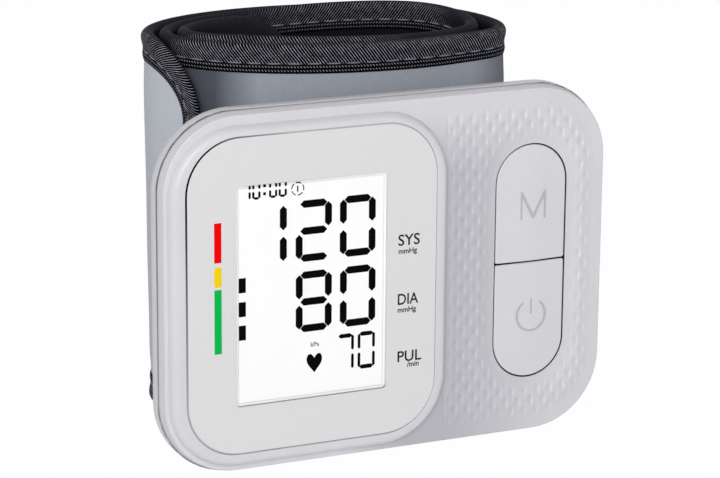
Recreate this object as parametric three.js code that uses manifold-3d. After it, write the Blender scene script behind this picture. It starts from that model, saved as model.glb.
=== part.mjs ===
// Wrist blood pressure monitor: a moulded two-part housing with a display, two buttons and a battery door,
// carried on a bound fabric cuff that is rolled up with its free end outside.
// Millimetres. X runs to the right along the front, Y from the front to the back, and Z up.
// While the pieces are made, Y is 0 at the front of the raised screen block. The finished group is moved
// so that the origin is on the standing surface, under the middle of the object.

import * as THREE from 'three';
import { mergeVertices } from 'three/addons/utils/BufferGeometryUtils.js';
import Module from 'manifold-3d';

const wasm = await Module();
wasm.setup();

// Clearances
const FIT = 0.2;
const STACK_GAP = 0.1;
const PARTING_GAP = 0.2;
const LENS_GAP = 0.25;
const BUTTON_GAP = 0.3;
const CELL_CLEARANCE = 0.3;
const LAYER_GAP = 0.15;
const SEAM_GAP = 0.3;

// Housing
const HOUSING_WIDTH = 84.4;
const LENS_MARGIN = 4.1;
const WALL = 1.8;
const PARTING_DEPTH = 3.6;
const EDGE_ROUND = 1.9;
const EDGE_INSET = 0.25;
const LIP_DEPTH = 1.6;
const LIP_THICKNESS = 1.2;
const SIDE_FLAT = 1.9;
const SWEEP_INSET = 6.5;
const SWEEP_RISE = 1.2;
const BACK_INSET = 12.5;

// Screen block, lens and display
const LENS_WIDTH = 46.1;
const LENS_HEIGHT = 55.4;
const LENS_RADIUS = 9.5;
const LENS_THICKNESS = 1.2;
const LENS_EDGE = 0.3;
const GASKET_THICKNESS = 0.2;
const GASKET_WIDTH = 5;
const SEAT_THICKNESS = 1.2;
const BEZEL_WIDTH = 2.65;
const BEZEL_RISE = 1.5;
const BEZEL_ROUND = 1.3;
const WINDOW_WIDTH = 30;
const WINDOW_HEIGHT = 40.6;
const LCD_WIDTH = 33;
const LCD_HEIGHT = 43;
const LCD_THICKNESS = 2.4;
const REFLECTOR_THICKNESS = 0.3;
const HOLDER_WALL = 1.6;
const HOLDER_RADIUS = 3;
const CONNECTOR_HEIGHT = 1.5;
const CONNECTOR_BAND = 2;
const BOARD_THICKNESS = 1;
const BOARD_INSET = 4.4;

// Buttons and switches
const PILL_WIDTH = 13.9;
const PILL_HEIGHT = 42.7;
const PILL_EDGE_MARGIN = 7.95;
const BUTTON_SPLIT = 0.35;
const BUTTON_ROUND = 0.7;
const BUTTON_FLANGE = 0.9;
const FLANGE_THICKNESS = 0.6;
const BUTTON_TRAVEL = 0.5;
const STEM_RADIUS = 1.5;
const SWITCH_SIZE = 6;
const SWITCH_HEIGHT = 1.3;
const SWITCH_FLOOR = 0.2;
const SWITCH_OFFSET = 10;
const PLUNGER_RADIUS = 1.2;
const PLUNGER_RISE = 0.6;

// Case screws
const SCREW_EDGE = 5;
const SCREW_SHANK_RADIUS = 0.75;
const SCREW_HEAD_RADIUS = 2;
const SCREW_HEAD_HEIGHT = 1.3;
const SCREW_GRIP = 1.2;
const SCREW_ENGAGEMENT = 4;
const BOSS_RADIUS = 2.6;
const BOSS_REACH = 0.3;

// Battery bay: two AAA cells loaded from the right
const CELL_DIAMETER = 10.5;
const CELL_BODY_LENGTH = 43.5;
const CELL_NUB_LENGTH = 1;
const CELL_NUB_RADIUS = 1.9;
const CELL_PITCH = 11;
const CELL_SETBACK = 13.5;
const BAY_FLOOR = 13.4;
const RIB = 1.2;
const CONTACT_THICKNESS = 0.4;
const CONTACT_SIZE = 7;
const CONTACT_DOME = 1.4;
const CARRIER_DEPTH = 4.5;
const DOOR_EDGE = 0.6;

// Air parts
const PUMP_DROP = 19;
const PUMP_DIAMETER = 10;
const PUMP_LEFT_MARGIN = 13.5;
const MOTOR_LENGTH = 18;
const PUMP_HEAD_LENGTH = 10;
const NIPPLE_RADIUS = 1.5;
const NIPPLE_LENGTH = 3;
const CRADLE_THICKNESS = 1.5;
const CRADLE_OVERHANG = 1.5;
const MANIFOLD_RADIUS = 3.2;
const MANIFOLD_TAIL = 4;
const NOZZLE_RADIUS = 1.9;
const NOZZLE_BORE = 0.9;
const SPOUT_WALL = 1;
const VALVE_RADIUS = 4.2;
const VALVE_LENGTH = 9;
const SENSOR_SIZE = 6;
const SENSOR_HEIGHT = 2.2;
const SENSOR_NIPPLE_RADIUS = 1.1;
const SENSOR_NIPPLE_REACH = 1.3;
const SENSOR_OFFSET = 6;

// Cuff plate
const PLATE_WIDTH = 24;
const PLATE_HEIGHT = 36;
const PLATE_RADIUS = 4;
const PLATE_THICKNESS = 1.2;
const PEG_RADIUS = 1.6;
const PEG_SPACING = 16;
const PEG_DROP = 10;

// Cuff: the winding is an oval spiral. Turns are counted from the right end of the oval.
const CUFF_HEIGHT = 68.7;
const CUFF_END_RADIUS = 14;
const LOOP_LENGTH = 68;
const LOOP_DEPTH = 41.4;
const LOOP_TILT_DEG = 9;
const LOOP_OFFSET = 6.5;
const INNER_END_TURN = 0.205;
const OUTER_LEFT_TURN = 2.5;
const OUTER_END_TURN = 2.615;
const HINGE_TURN = 2.36;
const STATION_STEP = 6.5;
const STATION_BEND_DEG = 18;
const FABRIC_THICKNESS = 0.45;
const EDGE_CORE_HALF = 0.1;
const BLADDER_THICKNESS = 0.45;
const STIFFENER_THICKNESS = 0.4;
const TAPE_THICKNESS = 0.35;
const TAPE_WIDTH = 5.2;
const FLAT_EDGE = 5.6;
const PAD_RAMP = 5.4;
const BLADDER_LENGTH = 120;
const STIFFENER_SETBACK = 45;
const HOOK_THICKNESS = 0.5;
const HOOK_LENGTH = 26;
const HOOK_MARGIN = 12;
const WINDING_SLACK = 0.45;

// Facets
const CORNER_STEPS = 6;
const ROUND_STEPS = 4;
const SWEEP_STEPS = 7;
const ROUND_SIDES = 20;
const PATH_SAMPLES = 2400;
const END_CORNER_STEPS = 9;
const TAIL_FINENESS = 2;

// Depths, from the front of the screen block towards the cuff
const lensBack = LENS_THICKNESS;
const gasketFront = lensBack + STACK_GAP;
const seatFront = gasketFront + GASKET_THICKNESS + STACK_GAP;
const seatBack = seatFront + SEAT_THICKNESS;
const lcdFront = seatBack + STACK_GAP;
const lcdBack = lcdFront + LCD_THICKNESS;
const boardFront = lcdBack + CONNECTOR_HEIGHT + 2 * STACK_GAP;
const boardBack = boardFront + BOARD_THICKNESS;
const fieldBack = BEZEL_RISE + WALL;
const partingBack = PARTING_DEPTH + PARTING_GAP;
const cellY = boardBack + CELL_CLEARANCE + CELL_DIAMETER / 2;
const backInside = cellY + CELL_DIAMETER / 2 + CELL_CLEARANCE;
const housingDepth = backInside + WALL;
const plateFront = housingDepth + FIT;
const plateBack = plateFront + PLATE_THICKNESS;

// Outlines on the front, as width, height, corner radius and centre
const housingHeight = LENS_HEIGHT + 2 * LENS_MARGIN;
const middleZ = housingHeight / 2;
const lensX = -HOUSING_WIDTH / 2 + LENS_MARGIN + LENS_WIDTH / 2;
const pillX = HOUSING_WIDTH / 2 - PILL_EDGE_MARGIN - PILL_WIDTH / 2;
const housing = outline(HOUSING_WIDTH, housingHeight, LENS_RADIUS + LENS_MARGIN, 0);
const lens = outline(LENS_WIDTH, LENS_HEIGHT, LENS_RADIUS, lensX);
const pill = outline(PILL_WIDTH, PILL_HEIGHT, PILL_WIDTH / 2, pillX);
const lcd = outline(LCD_WIDTH, LCD_HEIGHT, FIT, lensX);

function outline(width, height, radius, x, z = middleZ) {
  return { width, height, radius, x, z };
}

// The same outline drawn in by an inset, or let out where the inset is negative.
function inset(shape, by) {
  const radius = Math.max(shape.radius - by, FIT);
  return outline(shape.width - 2 * by, shape.height - 2 * by, radius, shape.x, shape.z);
}

// Geometry helpers

function outlinePoints(shape) {
  const points = [];
  for (let corner = 0; corner < 4; corner += 1) {
    const right = corner === 0 || corner === 3 ? 1 : -1;
    const up = corner < 2 ? 1 : -1;
    const centreX = shape.x + right * (shape.width / 2 - shape.radius);
    const centreZ = shape.z + up * (shape.height / 2 - shape.radius);
    for (let step = 0; step <= CORNER_STEPS; step += 1) {
      const angle = (corner + step / CORNER_STEPS) * Math.PI / 2;
      const x = centreX + shape.radius * Math.cos(angle);
      const z = centreZ + shape.radius * Math.sin(angle);
      points.push(new THREE.Vector2(x, z));
    }
  }
  return points;
}

// A closed mesh with shared vertices, no empty triangles and its faces pointing out.
function closed(geometry) {
  geometry.deleteAttribute('normal');
  geometry.deleteAttribute('uv');
  const merged = mergeVertices(geometry, 1e-4);
  const place = merged.getAttribute('position');
  const corners = [0, 1, 2].map(() => new THREE.Vector3());
  const faces = [];
  let volume = 0;
  for (let i = 0; i < merged.index.count; i += 3) {
    const face = [0, 1, 2].map((k) => merged.index.getX(i + k));
    if (new Set(face).size === 3) {
      faces.push(face);
      corners.forEach((corner, k) => corner.fromBufferAttribute(place, face[k]));
      volume += corners[0].dot(corners[1].cross(corners[2]));
    }
  }
  const order = volume < 0 ? [0, 2, 1] : [0, 1, 2];
  merged.setIndex(faces.flatMap((face) => order.map((k) => face[k])));
  return merged;
}

// Rings of equal counts joined into a tube. The contour says how the two ends are filled.
function loft(rings, contour) {
  const count = contour.length;
  const index = [];
  for (let i = 0; i + 1 < rings.length; i += 1) {
    for (let k = 0; k < count; k += 1) {
      const next = (k + 1) % count;
      const low = i * count;
      const high = low + count;
      index.push(low + k, low + next, high + k, low + next, high + next, high + k);
    }
  }
  const turn = Math.sign(THREE.ShapeUtils.area(contour));
  const last = (rings.length - 1) * count;
  for (const face of THREE.ShapeUtils.triangulateShape(contour, [])) {
    const faceTurn = Math.sign(THREE.ShapeUtils.area(face.map((k) => contour[k])));
    const [a, b, c] = faceTurn === turn ? face : [face[0], face[2], face[1]];
    index.push(a, c, b, last + a, last + b, last + c);
  }
  const geometry = new THREE.BufferGeometry();
  const positions = rings.flat().flatMap((point) => point.toArray());
  geometry.setAttribute('position', new THREE.Float32BufferAttribute(positions, 3));
  geometry.setIndex(index);
  return closed(geometry);
}

// An outline swept along Y through a profile of insets and depths.
function sweptOutline(shape, profile) {
  const rings = profile.map(([by, y]) => outlinePoints(inset(shape, by)).map((p) => new THREE.Vector3(p.x, y, p.y)));
  return loft(rings, outlinePoints(shape));
}

function plate(shape, front, back) {
  return sweptOutline(shape, [[0, front], [0, back]]);
}

function block(x, y, z) {
  const geometry = new THREE.BoxGeometry(x[1] - x[0], y[1] - y[0], z[1] - z[0]);
  geometry.translate((x[0] + x[1]) / 2, (y[0] + y[1]) / 2, (z[0] + z[1]) / 2);
  return closed(geometry);
}

// A turned piece: pairs of radius and distance along the axis, which is X or Y.
function turned(profile, axis, at, sides = ROUND_SIDES) {
  const geometry = new THREE.LatheGeometry(profile.map(([r, h]) => new THREE.Vector2(r, h)), sides);
  if (axis === 'x') geometry.rotateZ(-Math.PI / 2);
  geometry.translate(...at);
  return closed(geometry);
}

function rod(radius, axis, from, to, at) {
  return turned([[0, from], [radius, from], [radius, to], [0, to]], axis, at);
}

// A quarter round from a wall to a face, as pairs of inset and depth.
function quarterRound(startInset, faceY, size) {
  return Array.from({ length: ROUND_STEPS + 1 }, (_, step) => {
    const angle = (step / ROUND_STEPS) * Math.PI / 2;
    return [startInset + size * (1 - Math.cos(angle)), faceY + size * (1 - Math.sin(angle))];
  });
}

function solid(geometry) {
  const vertProperties = new Float32Array(geometry.getAttribute('position').array);
  const triVerts = new Uint32Array(geometry.index.array);
  return new wasm.Manifold(new wasm.Mesh({ numProp: 3, vertProperties, triVerts }));
}

function surface(manifold) {
  const mesh = manifold.getMesh();
  const geometry = new THREE.BufferGeometry();
  geometry.setAttribute('position', new THREE.Float32BufferAttribute(mesh.vertProperties, 3));
  geometry.setIndex(Array.from(mesh.triVerts));
  return geometry;
}

function join(...pieces) {
  return surface(pieces.map(solid).reduce((whole, piece) => whole.add(piece)));
}

function cut(base, ...tools) {
  return surface(tools.map(solid).reduce((whole, tool) => whole.subtract(tool), solid(base)));
}

function common(a, b) {
  return surface(solid(a).intersect(solid(b)));
}

// Housing

// Screw places on the diagonals of the four corners.
const screwReach = (housing.radius - SCREW_EDGE) * Math.SQRT1_2;
const screwX = HOUSING_WIDTH / 2 - housing.radius + screwReach;
const screwZ = housing.radius - screwReach;
const screwPlaces = [[-screwX, screwZ], [screwX, screwZ], [-screwX, housingHeight - screwZ],
  [screwX, housingHeight - screwZ]];
const bossBack = boardBack + BOSS_REACH;
const postFront = bossBack + FIT;
const headSeat = postFront + SCREW_GRIP;
const far = 2 * housingDepth;

function frontCover() {
  const edge = quarterRound(EDGE_INSET, BEZEL_RISE, EDGE_ROUND);
  const body = sweptOutline(housing, [[EDGE_INSET, PARTING_DEPTH], ...edge]);
  const screenBlock = inset(lens, -BEZEL_WIDTH);
  const raised = sweptOutline(screenBlock, [[0, fieldBack], ...quarterRound(0, 0, BEZEL_ROUND)]);
  const lipOutline = inset(housing, WALL + FIT);
  const lip = plate(lipOutline, BEZEL_RISE + EDGE_ROUND, PARTING_DEPTH + LIP_DEPTH);
  const cavity = plate(inset(lipOutline, LIP_THICKNESS), fieldBack, far);
  const bosses = screwPlaces.map(([x, z]) => rod(BOSS_RADIUS, 'y', BEZEL_RISE + WALL / 2, bossBack, [x, 0, z]));
  const bossHole = (x, z) => rod(SCREW_SHANK_RADIUS + FIT, 'y', fieldBack, far, [x, 0, z]);
  const shell = cut(join(body, raised, lip), cavity);
  const clearOfBack = sweptOutline(housing, backProfile(WALL + FIT));
  return cut(
    join(shell, common(join(...bosses), clearOfBack)),
    plate(inset(lcd, -HOLDER_WALL - 2 * FIT), seatBack, fieldBack + FIT),
    plate(inset(lens, -LENS_GAP), -far, seatFront),
    plate(outline(WINDOW_WIDTH, WINDOW_HEIGHT, HOLDER_RADIUS, lensX), -far, far),
    plate(pill, -far, fieldBack + FIT),
    ...screwPlaces.map(([x, z]) => bossHole(x, z)),
  );
}

// The back cover's side runs straight, then sweeps in to the flat back. The inner wall is offset from it.
function backProfile(offset) {
  const sweep = new THREE.QuadraticBezierCurve(
    new THREE.Vector2(0, partingBack + SIDE_FLAT),
    new THREE.Vector2(SWEEP_INSET, housingDepth - SWEEP_RISE),
    new THREE.Vector2(BACK_INSET, housingDepth),
  );
  const points = Array.from({ length: SWEEP_STEPS + 1 }, (_, step) => {
    const t = step / SWEEP_STEPS;
    const along = sweep.getTangent(t);
    const point = sweep.getPoint(t);
    return [point.x + along.y * offset, point.y - along.x * offset];
  });
  return [[offset, partingBack - (offset > 0 ? far : 0)], [offset, partingBack + SIDE_FLAT / 2], ...points];
}

const backForm = sweptOutline(housing, backProfile(0));
const backHollow = sweptOutline(housing, backProfile(WALL));
const backShell = cut(backForm, backHollow);

// The battery bay: two cells, one above the other, between two ribs.
const cellRight = HOUSING_WIDTH / 2 - CELL_SETBACK;
const cellLeft = cellRight - CELL_BODY_LENGTH - CELL_NUB_LENGTH;
const bayLeft = cellLeft - CONTACT_DOME - CONTACT_THICKNESS - FIT;
const cellLowZ = BAY_FLOOR + CELL_CLEARANCE + CELL_DIAMETER / 2;
const cellHighZ = cellLowZ + CELL_PITCH;
const bayTop = cellHighZ + CELL_DIAMETER / 2 + CELL_CLEARANCE;
const doorX = cellRight + STACK_GAP;
const doorY = [boardBack + DOOR_EDGE, backInside - DOOR_EDGE];

// The air parts lie in one line above the bay.
const airY = backInside - CELL_CLEARANCE - PUMP_DIAMETER / 2;
const airZ = housingHeight - PUMP_DROP;
const motorX = [-HOUSING_WIDTH / 2 + PUMP_LEFT_MARGIN, -HOUSING_WIDTH / 2 + PUMP_LEFT_MARGIN + MOTOR_LENGTH];
const headX = [motorX[1] + FIT, motorX[1] + FIT + PUMP_HEAD_LENGTH];

function backCover() {
  const ribY = [boardBack + FIT, housingDepth];
  const ribX = [bayLeft - RIB, cellRight];
  const ribs = [
    block(ribX, ribY, [BAY_FLOOR - RIB, BAY_FLOOR]),
    block(ribX, ribY, [bayTop, bayTop + RIB]),
    block([bayLeft - RIB, bayLeft], ribY, [BAY_FLOOR - RIB, bayTop + RIB]),
  ];
  const cradleZ = [airZ - PUMP_DIAMETER / 2 - CRADLE_OVERHANG, airZ + PUMP_DIAMETER / 2 + CRADLE_OVERHANG];
  const cradleX = motorX.map((x, end) => x + (end ? -2 : 1) * CRADLE_THICKNESS);
  const cradles = cradleX.map((x) => block([x, x + CRADLE_THICKNESS], [airY, housingDepth], cradleZ));
  const posts = screwPlaces.map(([x, z]) => rod(BOSS_RADIUS + FIT, 'y', postFront, housingDepth, [x, 0, z]));
  const inside = common(join(...ribs, ...cradles, ...posts), backForm);
  const pegHoles = pegPlaces().map(([x, z]) => rod(PEG_RADIUS + FIT, 'y', backInside - FIT, far, [x, 0, z]));
  return cut(
    join(backShell, inside),
    rod(PUMP_DIAMETER / 2 + CELL_CLEARANCE, 'x', motorX[0] - FIT, motorX[1] + FIT, [0, airY, airZ]),
    rod(NOZZLE_RADIUS + FIT, 'y', airY, far, [nozzleX, 0, airZ]),
    block([doorX, far], doorY, [BAY_FLOOR, bayTop]),
    ...pegHoles,
    ...screwPlaces.map(([x, z]) => rod(SCREW_SHANK_RADIUS + FIT, 'y', 0, far, [x, 0, z])),
    ...screwPlaces.map(([x, z]) => rod(SCREW_HEAD_RADIUS + FIT, 'y', headSeat, far, [x, 0, z])),
  );
}

// The door is the stretch of the shell over the bay, with a block inside that carries the link contact.
const contactX = [cellRight + FIT, cellRight + FIT + CONTACT_THICKNESS];

function batteryDoor() {
  const doorZ = [BAY_FLOOR + FIT, bayTop - FIT];
  const opening = block([doorX, far], [doorY[0] + FIT, doorY[1] - FIT], doorZ);
  const carrierZ = [cellLowZ - CONTACT_SIZE / 2, cellHighZ + CONTACT_SIZE / 2];
  const carrierY = [cellY - CARRIER_DEPTH / 2, cellY + CARRIER_DEPTH / 2];
  const carrier = block([contactX[1] + STACK_GAP, far], carrierY, carrierZ);
  return join(common(backShell, opening), common(carrier, backForm));
}

function caseScrew([x, z]) {
  const back = headSeat + STACK_GAP + SCREW_HEAD_HEIGHT;
  const seat = headSeat + STACK_GAP;
  const tip = bossBack - SCREW_ENGAGEMENT;
  const profile = [[0, tip], [SCREW_SHANK_RADIUS, tip + SCREW_SHANK_RADIUS], [SCREW_SHANK_RADIUS, seat],
    [SCREW_HEAD_RADIUS, seat], [SCREW_HEAD_RADIUS, back - SCREW_HEAD_HEIGHT / 3],
    [SCREW_HEAD_RADIUS * 0.7, back], [0, back]];
  return turned(profile, 'y', [x, 0, z], 12);
}

// Display

function displayLens() {
  return sweptOutline(lens, [[0, lensBack], [0, LENS_EDGE], [LENS_EDGE, 0]]);
}

function lensGasket() {
  const outer = inset(lens, FIT);
  const tape = plate(outer, gasketFront, gasketFront + GASKET_THICKNESS);
  return cut(tape, plate(inset(outer, GASKET_WIDTH), -far, far));
}

function lcdHolder() {
  const pocket = inset(lcd, -FIT);
  const outer = { ...inset(pocket, -HOLDER_WALL), radius: HOLDER_RADIUS };
  return cut(plate(outer, lcdFront, boardFront - STACK_GAP), plate(pocket, -far, far));
}

const lcdBottom = middleZ - LCD_HEIGHT / 2;

function lcdConnector() {
  const x = [lensX - LCD_WIDTH / 2 + CONNECTOR_BAND, lensX + LCD_WIDTH / 2 - CONNECTOR_BAND];
  const z = [lcdBottom + FIT, lcdBottom + FIT + CONNECTOR_BAND];
  return block(x, [lcdBack + STACK_GAP, boardFront - STACK_GAP], z);
}

function lcdReflector() {
  const bottom = lcdBottom + 2 * FIT + CONNECTOR_BAND;
  const top = middleZ + LCD_HEIGHT / 2 - FIT;
  const shape = outline(LCD_WIDTH - 2 * FIT, top - bottom, FIT, lensX, (top + bottom) / 2);
  return plate(shape, lcdBack + STACK_GAP, lcdBack + STACK_GAP + REFLECTOR_THICKNESS);
}

function mainBoard() {
  const board = plate(inset(housing, BOARD_INSET), boardFront, boardBack);
  return cut(board, ...screwPlaces.map(([x, z]) => rod(BOSS_RADIUS + FIT, 'y', 0, far, [x, 0, z])));
}

// Buttons: the two halves of one upright pill, each with a flange behind the cover's wall.

const switchFront = boardFront - SWITCH_HEIGHT;
const plungerFront = switchFront - PLUNGER_RISE;

function button(side) {
  const head = inset(pill, BUTTON_GAP);
  const flange = inset(pill, -BUTTON_FLANGE);
  const flangeFront = fieldBack + FIT;
  const flangeBack = flangeFront + FLANGE_THICKNESS;
  const cap = sweptOutline(head, [[0, flangeBack], ...quarterRound(0, BEZEL_RISE, BUTTON_ROUND)]);
  const stemEnd = plungerFront - FIT;
  const stem = rod(STEM_RADIUS, 'y', flangeFront, stemEnd, [pillX, 0, middleZ + side * SWITCH_OFFSET]);
  const whole = join(cap, plate(flange, flangeFront, flangeBack), stem);
  const splitEdge = middleZ + side * BUTTON_SPLIT / 2;
  const half = [splitEdge, splitEdge + side * PILL_HEIGHT].sort((a, b) => a - b);
  return common(whole, block([pillX - PILL_WIDTH, pillX + PILL_WIDTH], [-far, far], half));
}

function tactSwitch(side) {
  const z = middleZ + side * SWITCH_OFFSET;
  const half = SWITCH_SIZE / 2;
  const body = block([pillX - half, pillX + half], [switchFront, boardFront - STACK_GAP], [z - half, z + half]);
  return cut(body, rod(PLUNGER_RADIUS + FIT, 'y', -far, boardFront - STACK_GAP - SWITCH_FLOOR, [pillX, 0, z]));
}

function switchPlunger(side) {
  const seat = boardFront - STACK_GAP - SWITCH_FLOOR - BUTTON_TRAVEL - FIT;
  return rod(PLUNGER_RADIUS, 'y', plungerFront, seat, [pillX, 0, middleZ + side * SWITCH_OFFSET]);
}

// Cells and contacts

function cell(z, nubSide) {
  const r = CELL_DIAMETER / 2;
  const half = (CELL_BODY_LENGTH + CELL_NUB_LENGTH) / 2;
  const shoulder = half - CELL_NUB_LENGTH;
  const profile = [[0, -half], [r, -half], [r, shoulder], [CELL_NUB_RADIUS, shoulder],
    [CELL_NUB_RADIUS, half], [0, half]].map(([radius, along]) => [radius, nubSide * along]);
  return turned(profile, 'x', [(cellLeft + cellRight) / 2, cellY, z]);
}

// A stamped end contact: a square plate with a domed tip towards the cell.
function endContact(z) {
  const half = CONTACT_SIZE / 2;
  const x = [bayLeft + STACK_GAP, bayLeft + STACK_GAP + CONTACT_THICKNESS];
  const sheet = block(x, [cellY - half, cellY + half], [z - half, z + half]);
  const tip = cellLeft - STACK_GAP;
  const dome = [[0, x[0]], [half - FIT, x[0]], [half - FIT, x[1]], [half / 2, tip], [0, tip]];
  return join(sheet, turned(dome, 'x', [0, cellY, z]));
}

function linkContact() {
  const half = CONTACT_SIZE / 2;
  return block(contactX, [cellY - half, cellY + half], [cellLowZ - half, cellHighZ + half]);
}

// Air parts

function pumpMotor() {
  const r = PUMP_DIAMETER / 2;
  const profile = [[0, motorX[0]], [r / 2, motorX[0]], [r / 2, motorX[0] + 1], [r - 0.5, motorX[0] + 1],
    [r, motorX[0] + 1.5], [r, motorX[1]], [0, motorX[1]]];
  return turned(profile, 'x', [0, airY, airZ]);
}

function pumpHead() {
  const r = PUMP_DIAMETER / 2;
  const body = block(headX, [airY - r, airY + r], [airZ - r, airZ + r]);
  const nipple = rod(NIPPLE_RADIUS, 'x', headX[0] + FIT, headX[1] + NIPPLE_LENGTH, [0, airY, airZ]);
  return join(body, nipple);
}

const manifoldLeft = headX[1] + FIT;
const sensorX = manifoldLeft + SENSOR_OFFSET;
const manifoldFront = airY - MANIFOLD_RADIUS;

// A moulded tube with a nozzle to the cuff at the back and a port to the sensor in front.
function airManifold() {
  const right = nozzleX + MANIFOLD_TAIL;
  const body = join(
    rod(MANIFOLD_RADIUS, 'x', manifoldLeft, right, [0, airY, airZ]),
    rod(NOZZLE_RADIUS, 'y', airY, nozzleEnd, [nozzleX, 0, airZ]),
  );
  return cut(
    body,
    rod(NIPPLE_RADIUS + FIT, 'x', -far, far, [0, airY, airZ]),
    rod(NOZZLE_BORE, 'y', airY, far, [nozzleX, 0, airZ]),
    rod(SENSOR_NIPPLE_RADIUS + FIT, 'y', 0, airY, [sensorX, 0, airZ]),
  );
}

function releaseValve() {
  const left = nozzleX + MANIFOLD_TAIL + FIT;
  const nippleEnd = left - NIPPLE_LENGTH + FIT;
  const profile = [[0, nippleEnd], [NIPPLE_RADIUS, nippleEnd], [NIPPLE_RADIUS, left], [VALVE_RADIUS, left],
    [VALVE_RADIUS, left + VALVE_LENGTH], [0, left + VALVE_LENGTH]];
  return turned(profile, 'x', [0, airY, airZ]);
}

function pressureSensor() {
  const half = SENSOR_SIZE / 2;
  const back = manifoldFront - CELL_CLEARANCE;
  const front = boardBack + STACK_GAP;
  const base = Math.min(front + SENSOR_HEIGHT, back);
  const body = block([sensorX - half, sensorX + half], [front, base], [airZ - half, airZ + half]);
  return join(body, rod(SENSOR_NIPPLE_RADIUS, 'y', front + FIT, back + SENSOR_NIPPLE_REACH, [sensorX, 0, airZ]));
}

// Cuff: a flat band wound into an oval spiral, counter-clockwise from above, from the inner to the outer end.
// A place on it is the length along the band, the height Z, and the offset outwards from the middle layer.

const coreHalf = (BLADDER_THICKNESS + STIFFENER_THICKNESS + 3 * LAYER_GAP) / 2;
const bandHalf = coreHalf + FABRIC_THICKNESS;
const windingPitch = 2 * bandHalf + LAYER_GAP + HOOK_THICKNESS + WINDING_SLACK;
const tapeInside = EDGE_CORE_HALF + FABRIC_THICKNESS + LAYER_GAP;
const tapeOutside = tapeInside + TAPE_THICKNESS;
const fabricEdge = TAPE_THICKNESS + LAYER_GAP;

function windingPoint(turn) {
  const inwards = windingPitch * (OUTER_LEFT_TURN - turn);
  const angle = turn * 2 * Math.PI;
  const x = (LOOP_LENGTH / 2 - inwards) * Math.cos(angle);
  const y = (LOOP_DEPTH / 2 - inwards) * Math.sin(angle);
  const turnedPoint = new THREE.Vector2(x, y).rotateAround(new THREE.Vector2(), -LOOP_TILT_DEG * Math.PI / 180);
  return turnedPoint.add(new THREE.Vector2(LOOP_OFFSET, 0));
}

// Lengths along the spiral at evenly spaced turns, and how many bends the band needs up to each of them.
const turnSpan = OUTER_END_TURN - INNER_END_TURN;
const samples = Array.from({ length: PATH_SAMPLES + 1 }, (_, i) => INNER_END_TURN + (turnSpan * i) / PATH_SAMPLES);
const chords = samples.slice(1).map((turn, i) => windingPoint(turn).sub(windingPoint(samples[i])));
const lengths = [0];
const bends = [0];
chords.forEach((chord, i) => {
  const turning = Math.abs(chord.cross(chords[Math.max(i - 1, 0)])) / chord.lengthSq();
  const needed = Math.max(chord.length() / STATION_STEP, turning / (STATION_BEND_DEG * Math.PI / 180));
  lengths.push(lengths[i] + chord.length());
  bends.push(bends[i] + needed);
});
const bandLength = lengths[PATH_SAMPLES];

function turnAt(length) {
  const i = Math.max(1, lengths.findIndex((value) => value >= length - 1e-9));
  const share = (length - lengths[i - 1]) / (lengths[i] - lengths[i - 1]);
  return samples[i - 1] + share * (samples[i] - samples[i - 1]);
}

const seamSample = samples.findIndex((turn) => turn >= HINGE_TURN);
const seam = lengths[seamSample];

// Places where the band bends, closer together where the winding is tight, and finer still on the free end.
function bendPlaces(from, to, fineness) {
  const count = Math.ceil((bends[to] - bends[from]) * fineness);
  const share = (bends[to] - bends[from]) / count;
  const at = (i) => bends.findIndex((value) => value >= bends[from] + share * i - 1e-9);
  return Array.from({ length: count + 1 }, (_, i) => lengths[at(i)]);
}

const tailStations = bendPlaces(seamSample, PATH_SAMPLES, TAIL_FINENESS);
const stations = [...bendPlaces(0, seamSample, 1), ...tailStations.slice(1)];
const frames = stations.map((length) => {
  const turn = turnAt(length);
  const step = 1e-4;
  const along = windingPoint(turn + step).sub(windingPoint(turn - step)).normalize();
  return { length, point: windingPoint(turn), normal: new THREE.Vector2(along.y, -along.x) };
});

// The front of the middle turn lies against the cuff plate, which sets the winding's depth and the nozzle's place.
const frontFrames = frames.filter((frame) => Math.floor(turnAt(frame.length) * 2) === 3);
const reachOf = (frame) => frame.point.y + frame.normal.y * bandHalf;
const contact = frontFrames.reduce((best, frame) => (reachOf(frame) < reachOf(best) ? frame : best));
const windingShift = plateBack + CELL_CLEARANCE - reachOf(contact);
frames.forEach((frame) => frame.point.setY(frame.point.y + windingShift));

function bandPoint(length, offset, z) {
  const upper = frames.findIndex((frame) => frame.length >= length - 1e-9);
  const high = frames[Math.min(Math.max(upper < 0 ? frames.length - 1 : upper, 1), frames.length - 1)];
  const low = frames[frames.indexOf(high) - 1];
  const share = (length - low.length) / (high.length - low.length);
  const normal = low.normal.clone().lerp(high.normal, share);
  const point = low.point.clone().lerp(high.point, share).addScaledVector(normal, offset);
  return new THREE.Vector3(point.x, point.y, z);
}

// The lengths at which a stretch of band needs a ring: its ends, the bends between and the steps of a round corner.
function ringLengths(from, to, extra = []) {
  const inner = [...stations, ...extra].filter((length) => length > from + LAYER_GAP && length < to - LAYER_GAP);
  const all = [from, ...inner.sort((a, b) => a - b), to];
  return all.filter((length, i) => i === 0 || length - all[i - 1] > LAYER_GAP / 2);
}

const cornerAngle = (i) => (i / (END_CORNER_STEPS - 1)) * Math.PI / 2;
const CORNER_ANGLES = Array.from({ length: END_CORNER_STEPS }, (_, i) => cornerAngle(i));

// Distance from the free end to each step of its round corner, for an edge drawn in by some width.
const cornerSteps = (drawnIn) => CORNER_ANGLES.map((angle) => CUFF_END_RADIUS - (CUFF_END_RADIUS - drawnIn) * Math.cos(angle));

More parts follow.
